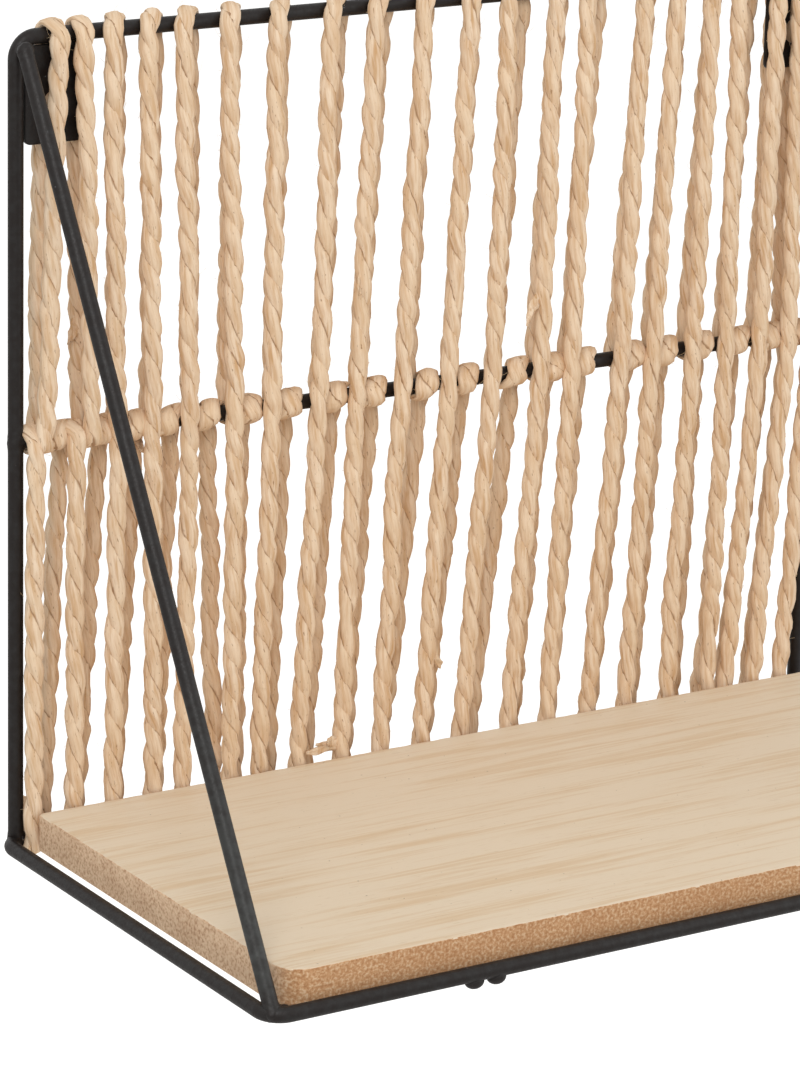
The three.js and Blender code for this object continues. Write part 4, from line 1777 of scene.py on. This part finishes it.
        return add("GeometryNodeSetPosition", {"Geometry": tube, "Position": final})[0]

    def dented(self, shape: ShapeTree, tube: Socket) -> Socket:
        """Adds small dents and lumps along the folds, so that no ply is a smooth tube.

        Args:
            shape: the tree.
            tube: the ply's mesh, with its own space stored.

        Returns:
            The mesh with its dents.
        """
        add = shape.add
        space = add("GeometryNodeInputNamedAttribute", {"Name": "ply_space"}, data_type="FLOAT_VECTOR")[0]
        drawn = add("ShaderNodeVectorMath", {
            0: space, 1: tuple(1 / (step * MM) for step in self.dent_steps)}, operation="MULTIPLY")[0]
        dents = add("ShaderNodeTexNoise", {"Vector": drawn, "Scale": 1.0, "Detail": 1.0})["Fac"]
        centred = add("ShaderNodeMath", {0: dents, 1: 0.5}, operation="SUBTRACT")[0]
        push = add("ShaderNodeMath", {0: centred, 1: self.dent_depth * MM}, operation="MULTIPLY")[0]
        shift = add("ShaderNodeVectorMath", {
            0: add("GeometryNodeInputNormal")["Normal"], 3: push}, operation="SCALE")[0]
        return add("GeometryNodeSetPosition", {"Geometry": tube, "Offset": shift})[0]

    def fibre_tree(self) -> ShapeTree:
        """Makes the tree that scatters loose fibres over a ply, as arches and with a free end.

        Returns:
            The tree.
        """
        shape = ShapeTree("loose_fibres", {
            "Per square metre": float, "Fibre radius": float, "Least length": float,
            "Most length": float, "Seed": int, "Material": Material})
        add, size = shape.add, shape.size
        section = add("GeometryNodeCurvePrimitiveCircle", {
            "Resolution": 3, "Radius": size("Fibre radius")}, mode="RADIUS")
        shapes = []
        for start, bend, end in (((-0.5, 0, -0.05), (0.05, 0.12, 0.55), (0.5, 0.05, -0.05)),
                                 ((0.0, 0, -0.05), (0.35, 0.05, 0.3), (0.95, 0.25, 0.42))):
            arch = add("GeometryNodeCurveQuadraticBezier", {
                "Resolution": 6, "Start": start, "Middle": bend, "End": end})
            shapes.append(arch[0])
        points = add("GeometryNodeDistributePointsOnFaces", {
            "Mesh": shape.entry.outputs["Geometry"], "Density": size("Per square metre"),
            "Seed": size("Seed")})
        both = add_node(shape.tree, "GeometryNodeGeometryToInstance")
        for arch in reversed(shapes):
            shape.tree.links.new(arch, both.inputs[0])
        spin = add("FunctionNodeRandomValue", {
            2: -self.fibre_spin, 3: self.fibre_spin, "Seed": size("Seed")}, data_type="FLOAT")[1]
        turn = add("FunctionNodeAxisAngleToRotation", {"Axis": (0, 0, 1), "Angle": spin})[0]
        facing = add("FunctionNodeRotateRotation", {"Rotation": points["Rotation"], "Rotate By": turn},
                     rotation_space="LOCAL")[0]
        length = add("FunctionNodeRandomValue", {
            2: size("Least length"), 3: size("Most length"), "Seed": size("Seed")}, data_type="FLOAT")[1]
        set_out = add("GeometryNodeInstanceOnPoints", {
            "Points": points["Points"], "Instance": both.outputs[0], "Pick Instance": True,
            "Rotation": facing, "Scale": length})
        lines = add("GeometryNodeRealizeInstances", {"Geometry": set_out[0]})
        tubes = add("GeometryNodeCurveToMesh", {"Curve": lines[0], "Profile Curve": section[0]})
        shape.close(tubes[0])
        return shape

    def build(self) -> None:
        """Makes the two plies and the fibres that stand off them."""
        points = self.route()
        length = sum((after.spot - here.spot).length for here, after in zip(points, points[1:]))
        LOG.info("rope route: %.2f m", length * MM)
        laid, loose = self.ply_tree(), self.fibre_tree()
        least, most = self.fibre_lengths
        for number, word in enumerate(("first", "second")):
            made = laid.shape(self.path(points), f"rope_{word}_ply", {
                "Turn": number / 2, "Lay length": self.lay_length * MM, "Ply radius": self.ply_radius * MM,
                "Ply offset": self.ply_offset * MM, "Ring spacing": self.ring_spacing * MM,
                "Ply sides": self.ply_sides, "Swell": self.swell, "Sway": self.sway * MM,
                "Rod radius": self.layout.rod_radius * MM, "Seed": self.seed_step * number,
                "Other seed": self.seed_step * (1 - number), "Material": self.paper})
            fuzz = loose.shape(linked("fibre_ground", made.data.copy()), f"rope_{word}_ply_fibres", {
                "Per square metre": self.fibre_density, "Fibre radius": self.fibre_radius * MM,
                "Least length": least * MM, "Most length": most * MM,
                "Seed": self.fibre_seed + number, "Material": self.fibre})
            forget(made, self.helpers)
            forget(fuzz, self.helpers)
            dress(made, Slot.ROPE, "rope_winding")
            dress(fuzz, Slot.ROPE)


@dataclass(frozen=True)
class Scrap:
    """A torn bit of paper: where it starts beside a strand, the way it points, its size in
    millimetres, and how far it curls, in radians."""

    root: tuple[float, float, float]
    heading: tuple[float, float, float]
    length: float
    width: float
    curl: float


@dataclass
class TornPaper:
    """Torn ends and flaps of the rope's paper, where the photograph shows the larger ones."""

    paper: Material
    line: list[Vector]  # the middle of the rope, in millimetres from the origin
    root_depth: float = 1.5  # from the middle of the rope, so inside its paper
    steps: int = 12
    sides: int = 5
    thickness: float = 0.3
    crumple: float = 1.1
    ragged: float = 0.5  # how far its width changes, as a share
    narrowing: float = 0.7  # share of its width that is gone at the tip
    seam_gap: float = 1.0  # distance from the other ply, so that the painted shade between the plies stays off a scrap
    scraps: tuple[Scrap, ...] = (
        Scrap((-42.4, -9.6, -237.2), (-1.0, -0.15, 0.05), 9.0, 3.4, -0.5),
        Scrap((-42.8, -9.0, -236.0), (-1.0, 0.0, 0.75), 6.4, 3.8, 0.7),
        Scrap((-42.6, -9.4, -236.6), (-1.0, -0.3, 0.4), 4.6, 3.4, -0.9),
        Scrap((-133.2, 2.6, -80.6), (-0.5, -0.3, -1.0), 9.0, 4.4, -0.4),
        Scrap((30.6, -8.2, -91.0), (-0.28, 0.0, -1.0), 9.0, 3.6, 0.5),
        Scrap((-1.0, -8.4, -206.6), (0.3, 0.0, -1.0), 9.5, 3.0, -0.5),
        Scrap((-39.0, -7.2, -71.6), (0.18, 0.0, -1.0), 11.0, 1.7, 0.8),
        Scrap((-111.4, 1.6, -122.4), (0.1, -0.1, -1.0), 6.6, 3.2, 0.9),
    )

    def rooted(self, scrap: Scrap) -> tuple[Vector, Vector]:
        """Moves a scrap's root into the strand that passes nearest, and leaves its tip.

        Args:
            scrap: the scrap.

        Returns:
            Its root and its tip.
        """
        start = Vector(scrap.root)
        tip = start + Vector(scrap.heading).normalized() * scrap.length
        middle = min(self.line, key=lambda spot: (spot - start).length)
        away = start - middle
        return middle + away.normalized() * min(away.length, self.root_depth), tip

    def ribbon(self, shape: bmesh.types.BMesh, scrap: Scrap, number: int) -> None:
        """Adds one scrap: a crumpled strip that curls and narrows to its tip.

        Args:
            shape: mesh that takes the strip.
            scrap: the scrap.
            number: its number, which picks its creases.
        """
        spot, tip = self.rooted(scrap)
        length = (tip - spot).length
        ahead = (tip - spot).normalized()
        aside = ahead.cross(Vector((0, -1, 0))).normalized()
        rows = []
        for step in range(self.steps + 1):
            part = step / self.steps
            ragged = 1 + self.ragged * noise.noise(Vector((part * 5, number * 3.3, 1.7)))
            half = scrap.width / 2 * (1 - self.narrowing * part ** 2) * ragged
            outwards = aside.cross(ahead)
            row = []
            for side in range(self.sides):
                share = 2 * side / (self.sides - 1) - 1
                crease = self.crumple * noise.noise(Vector((share * 1.5, part * 4, number * 5.1)))
                row.append(shape.verts.new((spot + aside * half * share + outwards * crease) * MM))
            rows.append(row)
            spot = spot + ahead * length / self.steps
            ahead = Matrix.Rotation(scrap.curl / self.steps, 3, aside) @ ahead
        skin(shape, rows, closed=False)

    def build(self) -> None:
        """Makes all the scraps as one piece, with the paper's own space stored on it."""
        shape = bmesh.new()
        for number, scrap in enumerate(self.scraps):
            self.ribbon(shape, scrap, number)
        strips = from_bmesh("torn_strips", shape)
        sheet = strips.modifiers.new("thickness", "SOLIDIFY")
        sheet.thickness = self.thickness * MM
        made = settle(strips, "torn_paper")
        spots = [value for vertex in made.data.vertices for value in vertex.co]
        gaps = [self.seam_gap * MM] * len(made.data.vertices)
        made.data.attributes.new("ply_space", "FLOAT_VECTOR", "POINT").data.foreach_set("vector", spots)
        made.data.attributes.new("ply_gap", "FLOAT", "POINT").data.foreach_set("value", gaps)
        shade(made, self.paper)
        dress(made, Slot.ROPE)


@dataclass(frozen=True)
class Lamp:
    """A square soft lamp: its name, its place, its width in millimetres, and its power in watts."""

    name: str
    spot: tuple[float, float, float]
    width: float
    power: float


@dataclass
class Studio:
    """The camera, the lamps, the pale floor and the white surroundings."""

    eye: tuple[float, float, float] = (-825.6, -1266.4, 282.2)
    heading: float = 32.72
    dip: float = 16.67
    roll: float = 1.41
    focal_pixels: float = 4696.9
    frame_height: float = 1070.0
    sensor: float = 36.0
    floor_drop: float = 620.0
    floor_reach: float = 6000.0
    floor_colour: str = "#F4F3F1"
    floor_glow: float = 0.5  # for the camera only, so that it stays paler than its shadow
    ambient: float = 0.62
    aim: tuple[float, float, float] = (0.0, -60.0, -120.0)  # where the lamps point
    lamps: tuple[Lamp, ...] = (
        Lamp("key_lamp", (-1300.0, -1500.0, 1500.0), 1400.0, 26.0),
        Lamp("fill_lamp", (1500.0, -1300.0, 500.0), 1300.0, 7.0),
    )

    def build(self) -> None:
        """Sets up everything that isn't part of the object."""
        self.camera()
        for lamp in self.lamps:
            self.light(lamp)
        self.world()
        self.floor()
        bpy.context.scene.view_settings.view_transform = "Standard"

    def camera(self) -> None:
        """Makes the camera of the photograph's view."""
        turn, dip, roll = (math.radians(angle) for angle in (self.heading, self.dip, self.roll))
        ahead = Vector((math.cos(dip) * math.sin(turn), math.cos(dip) * math.cos(turn), -math.sin(dip)))
        right = Vector((math.cos(turn), -math.sin(turn), 0))
        up = right.cross(ahead)
        rolled_right = math.cos(roll) * right + math.sin(roll) * up
        rolled_up = -math.sin(roll) * right + math.cos(roll) * up
        lens = bpy.data.cameras.new("camera")
        lens.sensor_fit = "AUTO"
        lens.sensor_width = self.sensor
        lens.lens = self.focal_pixels * self.sensor / self.frame_height
        lens.clip_start, lens.clip_end = 0.05, 50
        made = linked("camera", lens)
        columns = Matrix((rolled_right, rolled_up, -ahead)).transposed().to_4x4()
        made.matrix_world = Matrix.Translation(Vector(self.eye) * MM) @ columns
        bpy.context.scene.camera = made

    def light(self, lamp: Lamp) -> None:
        """Adds a lamp that faces the shelf.

        Args:
            lamp: the lamp.
        """
        light = bpy.data.lights.new(lamp.name, "AREA")
        light.shape = "SQUARE"
        light.size = lamp.width * MM
        light.energy = lamp.power
        made = linked(lamp.name, light)
        made.location = Vector(lamp.spot) * MM
        towards = Vector(self.aim) * MM - made.location
        made.rotation_euler = towards.to_track_quat("-Z", "Y").to_euler()

    def world(self) -> None:
        """Makes surroundings that are white to the camera and in reflections, and light softly."""
        world = bpy.data.worlds.new("surroundings")
        world.use_nodes = True
        tree = world.node_tree
        rays = add_node(tree, "ShaderNodeLightPath").outputs
        white = rays["Is Camera Ray"]
        for other in (rays["Is Glossy Ray"], rays["Is Transmission Ray"]):
            white = add_node(tree, "ShaderNodeMath", {0: white, 1: other}, operation="MAXIMUM").outputs[0]
        strength = add_node(tree, "ShaderNodeMapRange", {
            "Value": white, "To Min": self.ambient, "To Max": 1.0}).outputs["Result"]
        feed(tree, tree.nodes["Background"], {"Color": (1, 1, 1, 1), "Strength": strength})
        bpy.context.scene.world = world

    def floor(self) -> None:
        """Makes a pale floor far below the shelf, which still takes its soft shadow."""
        reach = self.floor_reach * MM
        ends = [Vector((x, y, -self.floor_drop * MM))
                for x, y in ((-reach, -reach), (reach, -reach), (reach, reach), (-reach, reach))]
        made = mesh_object("floor", ends, [(0, 1, 2, 3)])
        material, tree, shader = Finish("studio_floor").start()
        rays = add_node(tree, "ShaderNodeLightPath").outputs
        glow = add_node(tree, "ShaderNodeMapRange", {
            "Value": rays["Is Camera Ray"], "To Min": 0.0, "To Max": self.floor_glow})
        feed(tree, shader, {"Base Color": srgb(self.floor_colour), "Roughness": 0.9,
                            "Emission Color": (1, 1, 1, 1), "Emission Strength": glow.outputs["Result"]})
        made.data.materials.append(material)
        made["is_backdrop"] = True


def corners() -> list[list[float]]:
    """The shown object's lowest and highest corner, as plain lists."""
    return [list(corner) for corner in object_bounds()]


def main() -> None:
    """Builds the shelf's looks in order."""
    logging.basicConfig(level=logging.INFO, format="%(name)s: %(message)s")
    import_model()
    Studio().build()
    layout, rods = RodLayout(), rod_tree()
    paint = PaintedSteel().material()
    WireFrame(layout, paint, rods).build()
    HangerPlates(paint).build()
    Board(PaleVeneer().material(), SawnFibreboard()).build()
    Fixings(layout, paint, ZincPlate().material(), rods).build()
    paper = PaperRope().material()
    winding = RopeWinding(layout, paper, PaperFibre().material())
    winding.build()
    TornPaper(paper, winding.line()).build()


if __name__ == "__main__":
    main()
